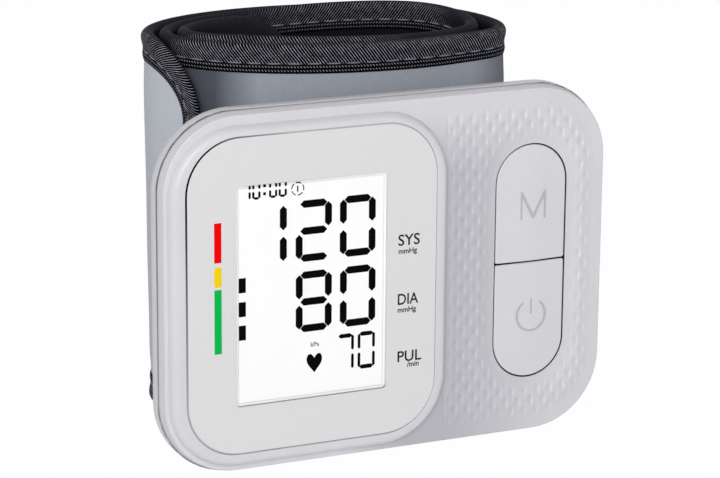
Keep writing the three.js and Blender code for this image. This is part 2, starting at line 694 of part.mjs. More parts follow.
// How far the rounded corner has cut into the height at a distance from the free end. It runs straight from
// step to step, as the tape does.
function cornerDrop(distance, drawnIn) {
  const radius = CUFF_END_RADIUS - drawnIn;
  const steps = cornerSteps(drawnIn);
  const drops = CORNER_ANGLES.map((angle) => radius * (1 - Math.sin(angle)));
  const next = steps.findIndex((step) => step >= distance - 1e-9);
  if (next < 0) return 0;
  if (next === 0) return radius;
  const share = (distance - steps[next - 1]) / (steps[next] - steps[next - 1]);
  return drops[next - 1] + share * (drops[next] - drops[next - 1]);
}

// Share of the padding's full height at a place on the band, by its distance to the nearest edge.
function padShare(distance, z) {
  const height = Math.min(z, CUFF_HEIGHT - z);
  const inCorner = Math.max(distance, height) < CUFF_END_RADIUS;
  const toCorner = CUFF_END_RADIUS - Math.hypot(CUFF_END_RADIUS - distance, CUFF_END_RADIUS - height);
  const edge = inCorner ? toCorner : Math.min(distance, height);
  return Math.min(Math.max((edge - FLAT_EDGE) / PAD_RAMP, 0), 1);
}

// One fabric layer from a free end to the seam, flat under the tape and lifted over the padding.
// Side is 1 for the outer fabric and -1 for the lining.
function fabricLayer(freeEnd, seamEnd, side) {
  const inwards = Math.sign(seamEnd - freeEnd);
  const free = freeEnd + inwards * fabricEdge;
  const corner = cornerSteps(fabricEdge).map((distance) => freeEnd + inwards * distance);
  const [from, to] = [free, seamEnd].sort((a, b) => a - b);
  const levels = [0, FLAT_EDGE - fabricEdge, FLAT_EDGE - fabricEdge + PAD_RAMP];
  let contour;
  const rings = ringLengths(from, to, corner).map((length) => {
    const distance = Math.abs(length - freeEnd);
    const bottom = fabricEdge + cornerDrop(distance, fabricEdge);
    const heights = [...levels.map((level) => bottom + level), ...levels.map((level) => CUFF_HEIGHT - bottom - level).reverse()];
    const face = heights.map((z) => {
      const lift = padShare(distance, z) * (coreHalf - EDGE_CORE_HALF);
      return [side * (EDGE_CORE_HALF + lift), z];
    });
    const outer = face.map(([offset, z]) => [offset + side * FABRIC_THICKNESS, z]).reverse();
    const section = [...face, ...outer];
    contour = section.map(([offset, z]) => new THREE.Vector2(offset, z));
    return section.map(([offset, z]) => bandPoint(length, offset, z));
  });
  return loft(rings, contour);
}

// The tape folded over the edge, from the seam along the top, round the free end and back along the bottom.
function bindingTape(freeEnd, seamEnd, legSteps) {
  const inwards = Math.sign(seamEnd - freeEnd);
  const straightStart = freeEnd + inwards * CUFF_END_RADIUS;
  const [from, to] = [straightStart, seamEnd].sort((a, b) => a - b);
  const straight = ringLengths(from, to);
  if (inwards > 0) straight.reverse();
  const top = straight.map((length) => ({ length, z: CUFF_HEIGHT, along: 0, up: -1 }));
  const corner = CORNER_ANGLES.slice(1).map((angle) => ({
    length: straightStart - inwards * CUFF_END_RADIUS * Math.sin(angle),
    z: CUFF_HEIGHT - CUFF_END_RADIUS * (1 - Math.cos(angle)),
    along: inwards * Math.sin(angle),
    up: -Math.cos(angle),
  }));
  const upper = [...top, ...corner];
  const lower = upper.map((place) => ({ ...place, z: CUFF_HEIGHT - place.z, up: -place.up })).reverse();
  const fold = TAPE_THICKNESS;
  const leg = Array.from({ length: legSteps + 1 }, (_, i) => TAPE_WIDTH + ((fold - TAPE_WIDTH) * i) / legSteps);
  const section = [
    ...leg.map((depth) => [depth, tapeOutside]),
    [0, tapeInside / 2],
    [0, -tapeInside / 2],
    ...[...leg].reverse().map((depth) => [depth, -tapeOutside]),
    ...leg.map((depth) => [depth, -tapeInside]),
    ...[...leg].reverse().map((depth) => [depth, tapeInside]),
  ];
  const rings = [...upper, ...lower].map(({ length, z, along, up }) => (
    section.map(([depth, offset]) => bandPoint(length + along * depth, offset, z + up * depth))));
  return loft(rings, section.map(([depth, offset]) => new THREE.Vector2(depth, offset)));
}

// A plain sheet inside or on the band.
function bandSheet(from, to, z, offsets) {
  const section = [[offsets[0], z[0]], [offsets[1], z[0]], [offsets[1], z[1]], [offsets[0], z[1]]];
  const rings = ringLengths(from, to).map((length) => section.map(([offset, height]) => bandPoint(length, offset, height)));
  return loft(rings, section.map(([offset, height]) => new THREE.Vector2(offset, height)));
}

const padEdge = FLAT_EDGE + PAD_RAMP;
const padZ = [padEdge, CUFF_HEIGHT - padEdge];
const bladderOffsets = [-coreHalf + LAYER_GAP, -coreHalf + LAYER_GAP + BLADDER_THICKNESS];
const stiffenerOffsets = [coreHalf - LAYER_GAP - STIFFENER_THICKNESS, coreHalf - LAYER_GAP];
const nozzleX = contact.point.x;
const nozzleEnd = bandPoint(contact.length, bladderOffsets[1], airZ).y - FIT;
const spoutRadius = NOZZLE_RADIUS + FIT + SPOUT_WALL;
const spoutHole = rod(spoutRadius + FIT, 'y', 0, plateBack + 2 * bandHalf, [nozzleX, 0, airZ]);

function airBladder() {
  const half = BLADDER_LENGTH / 2;
  const sheet = bandSheet(contact.length - half, contact.length + half, padZ, bladderOffsets);
  const root = bandPoint(contact.length, (bladderOffsets[0] + bladderOffsets[1]) / 2, airZ).y;
  const spout = rod(spoutRadius, 'y', housingDepth + FIT, root, [nozzleX, 0, airZ]);
  const bore = rod(NOZZLE_RADIUS + FIT, 'y', 0, root - BLADDER_THICKNESS / 2, [nozzleX, 0, airZ]);
  return cut(join(sheet, spout), bore);
}

function cuffStiffener() {
  return cut(bandSheet(STIFFENER_SETBACK, seam - STIFFENER_SETBACK, padZ, stiffenerOffsets), spoutHole);
}

function hookPatch() {
  const outer = -bandHalf - LAYER_GAP;
  const end = bandLength - HOOK_MARGIN;
  return bandSheet(end - HOOK_LENGTH, end, padZ, [outer - HOOK_THICKNESS, outer]);
}

function pegPlaces() {
  const half = PEG_SPACING / 2;
  return [[nozzleX - half, middleZ - PEG_DROP], [nozzleX + half, middleZ - PEG_DROP]];
}

function cuffPlate() {
  const sheet = plate(outline(PLATE_WIDTH, PLATE_HEIGHT, PLATE_RADIUS, nozzleX), plateFront, plateBack);
  const pegs = pegPlaces().map(([x, z]) => rod(PEG_RADIUS, 'y', backInside, plateFront + FIT, [x, 0, z]));
  return cut(join(sheet, ...pegs), spoutHole);
}

// Assembly

const object = new THREE.Group();
const palette = {
  shell: { color: 0xdcdce0, roughness: 0.45, metalness: 0 },
  lens: { color: 0xdedfdf, roughness: 0.2, metalness: 0 },
  glass: { color: 0xf6f6f4, roughness: 0.15, metalness: 0 },
  button: { color: 0xe2e2e6, roughness: 0.4, metalness: 0 },
  innerPlastic: { color: 0xc8c8c4, roughness: 0.6, metalness: 0 },
  board: { color: 0x2c6a45, roughness: 0.5, metalness: 0 },
  rubber: { color: 0x2a2a2c, roughness: 0.8, metalness: 0 },
  steel: { color: 0xb4b6b8, roughness: 0.35, metalness: 1 },
  cellWrap: { color: 0x3c6ea5, roughness: 0.4, metalness: 0 },
  fabric: { color: 0x9aa2aa, roughness: 0.85, metalness: 0 },
  lining: { color: 0x2b2b31, roughness: 0.9, metalness: 0 },
  tape: { color: 0x1b1b20, roughness: 0.85, metalness: 0 },
  film: { color: 0xb9bcc0, roughness: 0.5, metalness: 0 },
};

function add(name, geometry, finish) {
  geometry.computeVertexNormals();
  const mesh = new THREE.Mesh(geometry, new THREE.MeshStandardMaterial(palette[finish]));
  mesh.name = name;
  object.add(mesh);
}

add('front_cover', frontCover(), 'shell');
add('back_cover', backCover(), 'shell');
add('battery_door', batteryDoor(), 'shell');
screwPlaces.forEach((place, i) => add(`case_screw_${i + 1}`, caseScrew(place), 'steel'));

add('display_lens', displayLens(), 'lens');
add('lens_gasket', lensGasket(), 'rubber');
add('lcd_panel', plate(lcd, lcdFront, lcdBack), 'glass');
add('lcd_reflector', lcdReflector(), 'film');
add('lcd_holder', lcdHolder(), 'innerPlastic');
add('lcd_connector', lcdConnector(), 'rubber');
add('main_board', mainBoard(), 'board');

for (const [key, side] of [['memory', 1], ['power', -1]]) {
  add(`${key}_button`, button(side), 'button');
  add(`${key}_switch`, tactSwitch(side), 'innerPlastic');
  add(`${key}_plunger`, switchPlunger(side), 'rubber');
}

add('upper_cell', cell(cellHighZ, -1), 'cellWrap');
add('lower_cell', cell(cellLowZ, 1), 'cellWrap');
add('upper_contact', endContact(cellHighZ), 'steel');
add('lower_contact', endContact(cellLowZ), 'steel');
add('link_contact', linkContact(), 'steel');

add('pump_motor', pumpMotor(), 'steel');
add('pump_head', pumpHead(), 'innerPlastic');
add('air_manifold', airManifold(), 'rubber');
add('release_valve', releaseValve(), 'steel');
add('pressure_sensor', pressureSensor(), 'innerPlastic');

add('cuff_plate', cuffPlate(), 'innerPlastic');
add('cuff_fabric', cut(fabricLayer(0, seam, 1), spoutHole), 'fabric');
add('cuff_lining', fabricLayer(0, seam, -1), 'lining');
add('cuff_binding', bindingTape(0, seam, 1), 'tape');
add('cuff_stiffener', cuffStiffener(), 'film');
add('air_bladder', airBladder(), 'film');
const tailStart = seam + SEAM_GAP;
add('tail_fabric', fabricLayer(bandLength, tailStart, 1), 'fabric');
add('tail_lining', fabricLayer(bandLength, tailStart, -1), 'lining');
add('tail_binding', bindingTape(bandLength, tailStart, 2), 'tape');
add('hook_patch', hookPatch(), 'lining');

// The object's depth runs from the screen block to the back of the winding.
const overall = new THREE.Box3().setFromObject(object);
object.position.y = -(overall.min.y + overall.max.y) / 2;

// The free end of the cuff swings about an upright line on the outer face of the band at the seam.
const hinge = bandPoint(seam + SEAM_GAP / 2, bandHalf, 0);
object.userData.tailHinge = [hinge.x, hinge.y + object.position.y];
object.userData.bandLength = bandLength;

export default object;
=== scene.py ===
# %% [markdown]
# # Wrist blood pressure monitor
# A pale moulded housing with a screen and two buttons sits on a rolled-up cuff of bound fabric.
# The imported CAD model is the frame: every piece below is placed in its coordinates, in metres.
# Sizes are written in millimetres, because that is how the real pieces are drawn.

# %% Frame and units
import math

import bmesh
import bpy
import numpy as np
from mathutils import Matrix, Vector


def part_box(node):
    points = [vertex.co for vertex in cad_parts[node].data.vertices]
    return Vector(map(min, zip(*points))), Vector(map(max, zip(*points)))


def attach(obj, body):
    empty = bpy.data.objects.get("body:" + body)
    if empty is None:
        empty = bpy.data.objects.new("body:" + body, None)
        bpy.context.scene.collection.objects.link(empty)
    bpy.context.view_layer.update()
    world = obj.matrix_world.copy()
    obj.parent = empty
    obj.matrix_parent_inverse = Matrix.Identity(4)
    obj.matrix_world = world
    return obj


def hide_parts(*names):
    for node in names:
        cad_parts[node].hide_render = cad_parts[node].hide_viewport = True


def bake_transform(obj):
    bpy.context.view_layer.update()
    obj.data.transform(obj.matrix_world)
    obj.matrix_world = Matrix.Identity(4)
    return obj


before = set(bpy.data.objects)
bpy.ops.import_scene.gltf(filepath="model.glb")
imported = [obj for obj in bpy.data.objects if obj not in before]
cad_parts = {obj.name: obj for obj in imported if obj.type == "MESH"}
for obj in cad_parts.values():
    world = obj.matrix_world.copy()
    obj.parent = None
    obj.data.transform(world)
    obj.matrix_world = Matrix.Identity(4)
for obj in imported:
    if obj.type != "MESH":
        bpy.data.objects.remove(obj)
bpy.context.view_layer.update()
MM = 0.001
lens_low, lens_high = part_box("display_lens")
FRONT_Y = lens_low.y
LENS_X = (lens_low.x + lens_high.x) / 2 / MM
LENS_Z = (lens_low.z + lens_high.z) / 2 / MM


def at(x, y, z):
    """A point in millimetres, with y counted backwards from the front of the screen block."""
    return Vector((x * MM, FRONT_Y + y * MM, z * MM))


# %% [markdown]
# ## Camera
# The photograph was taken from the left and a little above, with a long lens from half a metre away. The
# angles come from the outline of the screen panel and the housing's edges.

# %% Camera
YAW = 0.42962
PITCH = 0.264733
ROLL = 0.0079736
CAMERA_PLACE = (-203.06, -429.22, 167.79)
FOCAL_LENGTH = 143.05
SENSOR_WIDTH = 36


def add_object(name, data):
    holder = bpy.data.objects.new(name, data)
    bpy.context.scene.collection.objects.link(holder)
    return holder


camera_data = bpy.data.cameras.new("photo_camera")
camera_data.sensor_width = SENSOR_WIDTH
camera_data.lens = FOCAL_LENGTH
camera_data.clip_start = 0.01
camera = add_object("photo_camera", camera_data)
turn_round = Matrix.Rotation(-YAW, 4, "Z")
tip_down = Matrix.Rotation(math.pi / 2 - PITCH, 4, "X")
lean = Matrix.Rotation(ROLL, 4, "Z")
camera.matrix_world = Matrix.Translation(at(*CAMERA_PLACE)) @ turn_round @ tip_down @ lean
bpy.context.scene.camera = camera
bpy.context.scene.view_settings.view_transform = "Standard"
print("camera at", [round(v, 4) for v in camera.matrix_world.translation])

# %% [markdown]
# ## Shader helpers
# Each finish is a node material. Small helpers add a node and set its inputs, do a sum, or make a group
# whose inputs and outputs are named.


# %% Shader helpers
def feed(socket, value):
    """Sets a socket to a number or a colour, or links it to another socket."""
    if isinstance(value, bpy.types.NodeSocket):
        socket.id_data.links.new(value, socket)
    else:
        socket.default_value = value


def set_inputs(node, **values):
    """Feeds a node's inputs, which are named, or counted as _0, _1 and so on."""
    for name, value in values.items():
        feed(node.inputs[int(name[1:]) if name[0] == "_" else name.replace("_", " ")], value)
    return node


def add_node(tree, kind, **values):
    return set_inputs(tree.nodes.new(kind), **values)


def sum_of(operation, first, second=0.0, third=0.0):
    node = add_node(first.id_data, "ShaderNodeMath", _0=first, _1=second, _2=third)
    node.operation = operation
    return node.outputs[0]


def ramp(value, low, high, out_low, out_high):
    return add_node(value.id_data, "ShaderNodeMapRange", Value=value, From_Min=low, From_Max=high,
                    To_Min=out_low, To_Max=out_high).outputs[0]


def mix_colours(share, first, second):
    node = add_node(share.id_data, "ShaderNodeMix")
    node.data_type = "RGBA"
    set_inputs(node, _0=share, _6=first, _7=second)
    return node.outputs[2]


def noise(place, scale, detail):
    return add_node(place.id_data, "ShaderNodeTexNoise", Vector=place, Scale=scale, Detail=detail).outputs[0]


def parts_of(place):
    return add_node(place.id_data, "ShaderNodeSeparateXYZ", Vector=place).outputs


def bump(height, strength, distance):
    return add_node(height.id_data, "ShaderNodeBump", Height=height, Strength=strength,
                    Distance=distance).outputs[0]


def node_group(name, inputs, outputs):
    tree = bpy.data.node_groups.new(name, "ShaderNodeTree")
    for label, kind, value in inputs:
        socket = tree.interface.new_socket(label, in_out="INPUT", socket_type=kind)
        socket.default_value = value
    for label, kind in outputs:
        tree.interface.new_socket(label, in_out="OUTPUT", socket_type=kind)
    return tree, tree.nodes.new("NodeGroupInput").outputs, tree.nodes.new("NodeGroupOutput")


def place_group(tree, group_tree, *values):
    """Puts a group into a material, sets its inputs in order and gives its outputs."""
    group = tree.nodes.new("ShaderNodeGroup")
    group.node_tree = group_tree
    for socket, value in zip(group.inputs, values):
        feed(socket, value)
    return group.outputs


def linear(red, green, blue):
    """A colour as the eye reads it, 0 to 255, as the linear numbers that a shader takes."""
    shares = (red / 255, green / 255, blue / 255)
    return (*((c / 12.92 if c < 0.04045 else ((c + 0.055) / 1.055) ** 2.4) for c in shares), 1.0)


print("shader helpers ready")

# %% [markdown]
# ## Moulded grain
# Moulded plastic is never one flat colour: the tool leaves a fine spark texture, and the pigment drifts
# over the part. One group gives both to every moulding.

# %% Moulded grain group
PIGMENT_SCALE = 70.0
PIGMENT_SPAN = (0.35, 0.65)
PIGMENT_SHARE = 0.7
SPARK_SPAN = (0.3, 0.7)
SPARK_SHARE = 0.3
SPARK_ROUGHNESS = 0.07
FLOAT = "NodeSocketFloat"
COLOUR = "NodeSocketColor"

grain_tree, grain_in, grain_out = node_group(
    "moulded_grain",
    [("Colour", COLOUR, (0.8, 0.8, 0.8, 1)), ("Drift", COLOUR, (0.7, 0.7, 0.7, 1)),
     ("Grain Scale", FLOAT, 3000.0), ("Roughness", FLOAT, 0.4)],
    [("Colour", COLOUR), ("Roughness", FLOAT), ("Height", FLOAT)])
grain_place = add_node(grain_tree, "ShaderNodeTexCoord").outputs["Object"]
spark = noise(grain_place, grain_in["Grain Scale"], 3.0)
pigment = noise(grain_place, PIGMENT_SCALE, 2.0)
drift_share = sum_of("ADD", ramp(pigment, *PIGMENT_SPAN, 0.0, PIGMENT_SHARE),
                     ramp(spark, *SPARK_SPAN, 0.0, SPARK_SHARE))
grain_rough = sum_of("ADD", grain_in["Roughness"],
                     ramp(spark, *SPARK_SPAN, -SPARK_ROUGHNESS, SPARK_ROUGHNESS))
set_inputs(grain_out, Colour=mix_colours(drift_share, grain_in["Colour"], grain_in["Drift"]),
           Roughness=grain_rough, Height=spark)
print("group", grain_tree.name, "with", len(grain_tree.nodes), "nodes")

# %% [markdown]
# ## Moulded finishes
# Housing, buttons, printed lens, inks and inner pieces differ only in colour, grain and gloss, so one
# helper makes them all from a list, where the whole palette can be read.

# %% Moulded finishes
TOOL_SPARK = 0.00004
PRINTED = 0.00001
GRAIN_STRENGTH = 0.25

# Colour, the colour it drifts to, grain scale, roughness, depth of the grain in metres, and gloss
MOULDED = {
    "shell_plastic": ((213, 212, 217), (209, 208, 213), 2600.0, 0.34, TOOL_SPARK, 0.5),
    "button_plastic": ((214, 214, 216), (211, 211, 213), 3200.0, 0.4, TOOL_SPARK, 0.5),
    "lens_print": ((218, 218, 218), (218, 218, 218), 7000.0, 0.3, 0.000001, 0.5),
    "screen_glass": ((253, 253, 253), (251, 251, 251), 1500.0, 0.35, PRINTED, 0.5),
    "segment_ink": ((2, 2, 3), (5, 5, 6), 3000.0, 0.6, PRINTED, 0.03),
    "label_ink": ((44, 44, 49), (38, 38, 43), 3000.0, 0.6, PRINTED, 0.05),
    "window_edge": ((214, 214, 219), (206, 206, 211), 3000.0, 0.5, PRINTED, 0.2),
    "film_edge": ((228, 228, 234), (224, 224, 230), 3000.0, 0.5, PRINTED, 0.2),
    # Painted shade: the ring in the groove round the lens is a dark ring that stands in for the shade in the
    # groove.
    "gasket_black": ((3, 3, 4), (2, 2, 3), 3000.0, 0.7, PRINTED, 0.02),
    # Painted shade: the ring in the seam between the covers is a dark ring that stands in for the shade in
    # the seam.
    "seam_seal": ((126, 126, 131), (120, 120, 125), 3000.0, 0.7, PRINTED, 0.05),
    # Painted shade: the black in the button gaps stands in for the shade in the gaps.
    "key_mat": ((8, 8, 10), (5, 5, 7), 3000.0, 0.7, PRINTED, 0.02),
    "button_mark": ((187, 186, 193), (183, 182, 189), 3000.0, 0.5, PRINTED, 0.2),
    "scale_red": ((238, 2, 4), (232, 1, 3), 2000.0, 0.5, PRINTED, 0.04),
    "scale_yellow": ((242, 209, 14), (238, 204, 10), 2000.0, 0.5, PRINTED, 0.04),
    "scale_green": ((8, 184, 78), (6, 178, 74), 2000.0, 0.5, PRINTED, 0.04),
    "inner_plastic": ((196, 196, 200), (186, 186, 190), 1800.0, 0.5, TOOL_SPARK, 0.5),
    "circuit_board": ((28, 92, 58), (20, 76, 48), 900.0, 0.45, TOOL_SPARK, 0.5),
    "soft_rubber": ((46, 46, 50), (36, 36, 40), 1800.0, 0.7, TOOL_SPARK, 0.5),
    "plated_steel": ((205, 205, 208), (184, 184, 188), 2400.0, 0.28, 0.00002, 0.5),
    "cell_wrap": ((62, 70, 84), (50, 56, 68), 900.0, 0.35, TOOL_SPARK, 0.5),
}


def new_finish(name):
    finish = bpy.data.materials.new(name)
    finish.use_nodes = True
    return finish


def shader_of(finish):
    return finish.node_tree.nodes["Principled BSDF"]


def moulded(name, colour, drift, grain, roughness, depth, gloss):
    finish = new_finish(name)
    mixed, rough, height = place_group(finish.node_tree, grain_tree, linear(*colour), linear(*drift), grain,
                                       roughness)
    set_inputs(shader_of(finish), Base_Color=mixed, Roughness=rough, Coat_Roughness=0.12,
               Specular_IOR_Level=gloss, Normal=bump(height, GRAIN_STRENGTH, depth))
    return finish


finishes = {name: moulded(name, *values) for name, values in MOULDED.items()}
set_inputs(shader_of(finishes["lens_print"]), Coat_Weight=0.15)
set_inputs(shader_of(finishes["cell_wrap"]), Coat_Weight=0.4)
set_inputs(shader_of(finishes["plated_steel"]), Metallic=1.0)
print(len(finishes), "moulded finishes made")

# %% [markdown]
# ## Shades over a finish
# Broad shades lie over the grain: the rings in the groove round the lens and in the seam are painted shade,
# black at the upper left only, and the field is painted darker beside the screen frame, as a painted shadow.
# They are ramps over the object's own X and Z, so they stay put from every side.

# %% Shades over a finish
LINE_RIGHT = (-0.034, -0.018)
LINE_DOWN = (0.006, 0.046)
FIELD_FROM = (-0.010, 0.004)
FIELD_TO = (0.0110, 0.0330)
FIELD_TOP = (0.0500, 0.0600)


def shade_over(finish, share_of, colour):
    """Lays a second colour over a finish. share_of gets the object's X, Y and Z sockets."""
    place = add_node(finish.node_tree, "ShaderNodeTexCoord").outputs["Object"]
    base = shader_of(finish).inputs["Base Color"]
    feed(base, mix_colours(share_of(parts_of(place)), base.links[0].from_socket, linear(*colour)))


def painted_line_shade(parts):
    """Painted shade: the line round the lens is painted black at the upper left, and greys towards the right
    and the foot.
    """
    return sum_of("MAXIMUM", ramp(parts[0], *LINE_RIGHT, 0.0, 0.9), ramp(parts[2], *LINE_DOWN, 0.85, 0.0))


def field_painted_shadow(parts):
    """Painted shadow: the field is painted darkest beside the screen frame, and clears towards the right
    edge and the top.
    """
    beside = sum_of("MULTIPLY", ramp(parts[0], *FIELD_FROM, 0.0, 1.0), ramp(parts[0], *FIELD_TO, 1.0, 0.0))
    return sum_of("MULTIPLY", beside, ramp(parts[2], *FIELD_TOP, 1.0, 0.0))


# The field's finish is the shell's finish with a painted shadow laid over it.
finishes["field_plastic_painted_shadow"] = finishes["shell_plastic"].copy()
finishes["field_plastic_painted_shadow"].name = "field_plastic_painted_shadow"
# Painted shade on the groove ring round the lens: black at the upper left, paler towards the right and the
# foot.
shade_over(finishes["gasket_black"], painted_line_shade, (206, 205, 211))
# Painted shade on the seam ring: darker at the upper left, paler towards the right and the foot.
shade_over(finishes["seam_seal"], painted_line_shade, (168, 167, 173))
# Painted shadow: the field is painted darker beside the screen frame.
shade_over(finishes["field_plastic_painted_shadow"], field_painted_shadow, (181, 180, 187))
print("shades laid over the lens line, the seam and the field")

# %% [markdown]
# ## Woven threads
# Each cloth follows the band, so its pattern is read from a UV map in millimetres: U along the band and V
# across it. The group gives the threads that run each way, and a soft blotch for the dye.

# %% Woven thread group
BLOTCH_SCALE = 0.8
BLOTCH_SPAN = (0.3, 0.7)

weave_tree, weave_in, weave_out = node_group(
    "woven_threads",
    [("Pitch Along", FLOAT, 0.5), ("Pitch Across", FLOAT, 0.5), ("Lean", FLOAT, 0.0)],
    [("Along", FLOAT), ("Across", FLOAT), ("Blotch", FLOAT), ("Place Across", FLOAT)])
weave_uv = add_node(weave_tree, "ShaderNodeUVMap").outputs[0]
place_along, place_across, _ = parts_of(weave_uv)


def thread_wave(place, pitch):
    turns = sum_of("DIVIDE", sum_of("MULTIPLY", place, 2 * math.pi), pitch)
    return ramp(sum_of("SINE", turns), -1.0, 1.0, 0.0, 1.0)


lean_place = sum_of("MULTIPLY_ADD", sum_of("ABSOLUTE", place_across), weave_in["Lean"], place_along)
set_inputs(weave_out, Along=thread_wave(lean_place, weave_in["Pitch Along"]),
           Across=thread_wave(place_across, weave_in["Pitch Across"]),
           Blotch=ramp(noise(weave_uv, BLOTCH_SCALE, 4.0), *BLOTCH_SPAN, 0.0, 1.0),
           Place_Across=place_across)
print("group", weave_tree.name, "with", len(weave_tree.nodes), "nodes")

# %% [markdown]
# ## Cloth finishes
# A plain cloth has threads both ways, with darker valleys between them, and a soft sheen.

# %% Cloth finishes
BLOTCH_SHARE = 0.3
WEAVE_STRENGTH = 0.5

# Thread, valley, pitch in mm, sheen, depth of the weave in metres, roughness and gloss
CLOTH = {
    "cover_cloth": ((162, 167, 176), (148, 153, 162), 0.34, 0.12, 0.00005, 0.85, 0.25),
    # The free end's cloth is the cover's cloth painted paler: painted light, as the free end faces the
    # light.
    "tail_cloth": ((197, 202, 210), (184, 189, 197), 0.34, 0.12, 0.00005, 0.85, 0.25),
    "lining_cloth": ((26, 26, 33), (15, 15, 20), 0.55, 0.02, 0.0001, 0.85, 0.08),
    "hook_pile": ((48, 49, 54), (22, 22, 26), 1.1, 0.1, 0.0004, 0.6, 0.25),
    "stitch_thread": ((146, 145, 160), (106, 105, 120), 0.3, 0.2, 0.00004, 0.6, 0.25),
}


def woven(name, thread, valley, pitch, sheen, depth, roughness, gloss):
    finish = new_finish(name)
    along, across, blotch, _ = place_group(finish.node_tree, weave_tree, pitch, pitch)
    height = sum_of("MULTIPLY", along, across)
    worn = sum_of("MULTIPLY_ADD", blotch, BLOTCH_SHARE, sum_of("MULTIPLY", height, 1 - BLOTCH_SHARE))
    set_inputs(shader_of(finish), Base_Color=mix_colours(worn, linear(*valley), linear(*thread)),
               Roughness=roughness, Sheen_Weight=sheen, Sheen_Roughness=0.5, Specular_IOR_Level=gloss,
               Normal=bump(height, WEAVE_STRENGTH, depth))
    return finish


finishes.update({name: woven(name, *values) for name, values in CLOTH.items()})
print(len(CLOTH), "cloth finishes made")

# %% [markdown]
# ## Ribbed tape finish
# The tape has leaning ribs that catch the light, and two dotted selvage rows near each edge. An attribute on
# the tape, rib_share, says how much of the ribs is left: they are worn away where the turns rub, and they
# give way to painted shade where the tape faces away from the light.

# %% Ribbed tape finish
RIB_PITCH = 0.56
RIB_LEAN = 0.75
RIB_SHARPNESS = 12.0
RIB_STRENGTH = (0.25, 0.8)
RIB_END = (3.3, 3.6)
SELVAGE_ROWS = (3.95, 4.65)
SELVAGE_HALF = (0.08, 0.2)
DOT_SHARPNESS = 4.0
TAPE_STRENGTH = 0.7
TAPE_RELIEF = 0.00012
FLAT_LEFT = 0.06

finishes["rib_tape"] = new_finish("rib_tape")
tape_tree = finishes["rib_tape"].node_tree
ribs, _, dye, place_across = place_group(tape_tree, weave_tree, RIB_PITCH, RIB_PITCH, RIB_LEAN)
leg_depth = sum_of("ABSOLUTE", place_across)
selvage = 0.0
for row in SELVAGE_ROWS:
    off_row = sum_of("ABSOLUTE", sum_of("SUBTRACT", leg_depth, row))
    selvage = sum_of("MAXIMUM", ramp(off_row, *SELVAGE_HALF, 1.0, 0.0), selvage)
rib_attribute = add_node(tape_tree, "ShaderNodeAttribute")
rib_attribute.attribute_name = "rib_share"
ribs_left = ramp(rib_attribute.outputs["Fac"], 0.0, 1.0, FLAT_LEFT, 1.0)
rib_line = sum_of("MULTIPLY", sum_of("POWER", ribs, RIB_SHARPNESS), ramp(dye, 0.0, 1.0, *RIB_STRENGTH))
rib_face = sum_of("MULTIPLY", rib_line, ramp(leg_depth, *RIB_END, 1.0, 0.0))
dots = sum_of("MULTIPLY", sum_of("MULTIPLY", selvage, sum_of("POWER", ribs, DOT_SHARPNESS)), ribs_left)
rib_colour = mix_colours(rib_face, linear(3, 3, 6), linear(232, 232, 248))
# Painted shade: where rib_share is low, the tape is painted a plain dark face without bright ribs.
face_colour = mix_colours(ribs_left, linear(34, 34, 41), rib_colour)
rib_height = sum_of("MULTIPLY", sum_of("ADD", ribs, selvage), ribs_left)
set_inputs(shader_of(finishes["rib_tape"]), Base_Color=mix_colours(dots, face_colour, linear(156, 156, 168)),
           Roughness=0.62, Specular_IOR_Level=0.02, Normal=bump(rib_height, TAPE_STRENGTH, TAPE_RELIEF))
print("tape finish with", len(tape_tree.nodes), "nodes")

# %% [markdown]
# ## Mesh helpers
# The hard pieces are rounded rectangles that step in or out as they rise: a face is made once, its corners
# are bevelled, and it is inset again and again. An outline is written as width, height, radius, x and z.

# %% Mesh helpers
CORNER_SEGMENTS = 14


def grown(outline, by):
    """An outline that is moved out by the same amount all round."""
    width, height, radius, x, z = outline
    return width + 2 * by, height + 2 * by, radius + by, x, z


def stepped_face(outline, depth, steps, facing=-1):
    """A mesh of an upright rounded face that looks to the front (-1) or to the back (1), and its middle.

    The face is inset by each (inwards, forwards) step in turn, and stays the innermost one."""
    width, height, radius, x, z = outline
    centre = at(x, depth, z)
    bm = bmesh.new()
    corners = bmesh.ops.create_grid(bm, x_segments=1, y_segments=1, size=0.5)["verts"]
    bmesh.ops.scale(bm, vec=(width * MM, height * MM, 1), verts=corners)
    bmesh.ops.rotate(bm, matrix=Matrix.Rotation(-facing * math.pi / 2, 3, "X"), verts=corners)
    bmesh.ops.translate(bm, vec=centre, verts=corners)
    upper_radius, lower_radius = radius if isinstance(radius, tuple) else (radius, radius)
    upper = [v for v in corners if v.co.z > centre.z]
    lower = [v for v in corners if v.co.z < centre.z]
    for row, amount in ((upper, upper_radius), (lower, lower_radius)):
        bmesh.ops.bevel(bm, geom=row, offset=amount * MM, offset_type="OFFSET", segments=CORNER_SEGMENTS,
                        profile=0.5, affect="VERTICES", material=-1)
    bmesh.ops.remove_doubles(bm, verts=bm.verts, dist=0.001 * MM)
    bm.faces.ensure_lookup_table()
    middle = bm.faces[0]
    for inwards, forwards in steps:
        bmesh.ops.inset_region(bm, faces=[middle], thickness=inwards * MM, depth=forwards * MM,
                               use_even_offset=True, use_boundary=True)
    return bm, middle


def round_steps(inset, rise, segments, start=0.0):
    """The steps of an oval round that leaves the wall, or slopes up from the start, and ends level."""
    angles = [start + (math.pi / 2 - start) * i / segments for i in range(segments + 1)]
    across = inset / math.cos(start)
    up = rise / (1 - math.sin(start))
    return [(across * (math.cos(a) - math.cos(b)), up * (math.sin(b) - math.sin(a)))
            for a, b in zip(angles, angles[1:])]


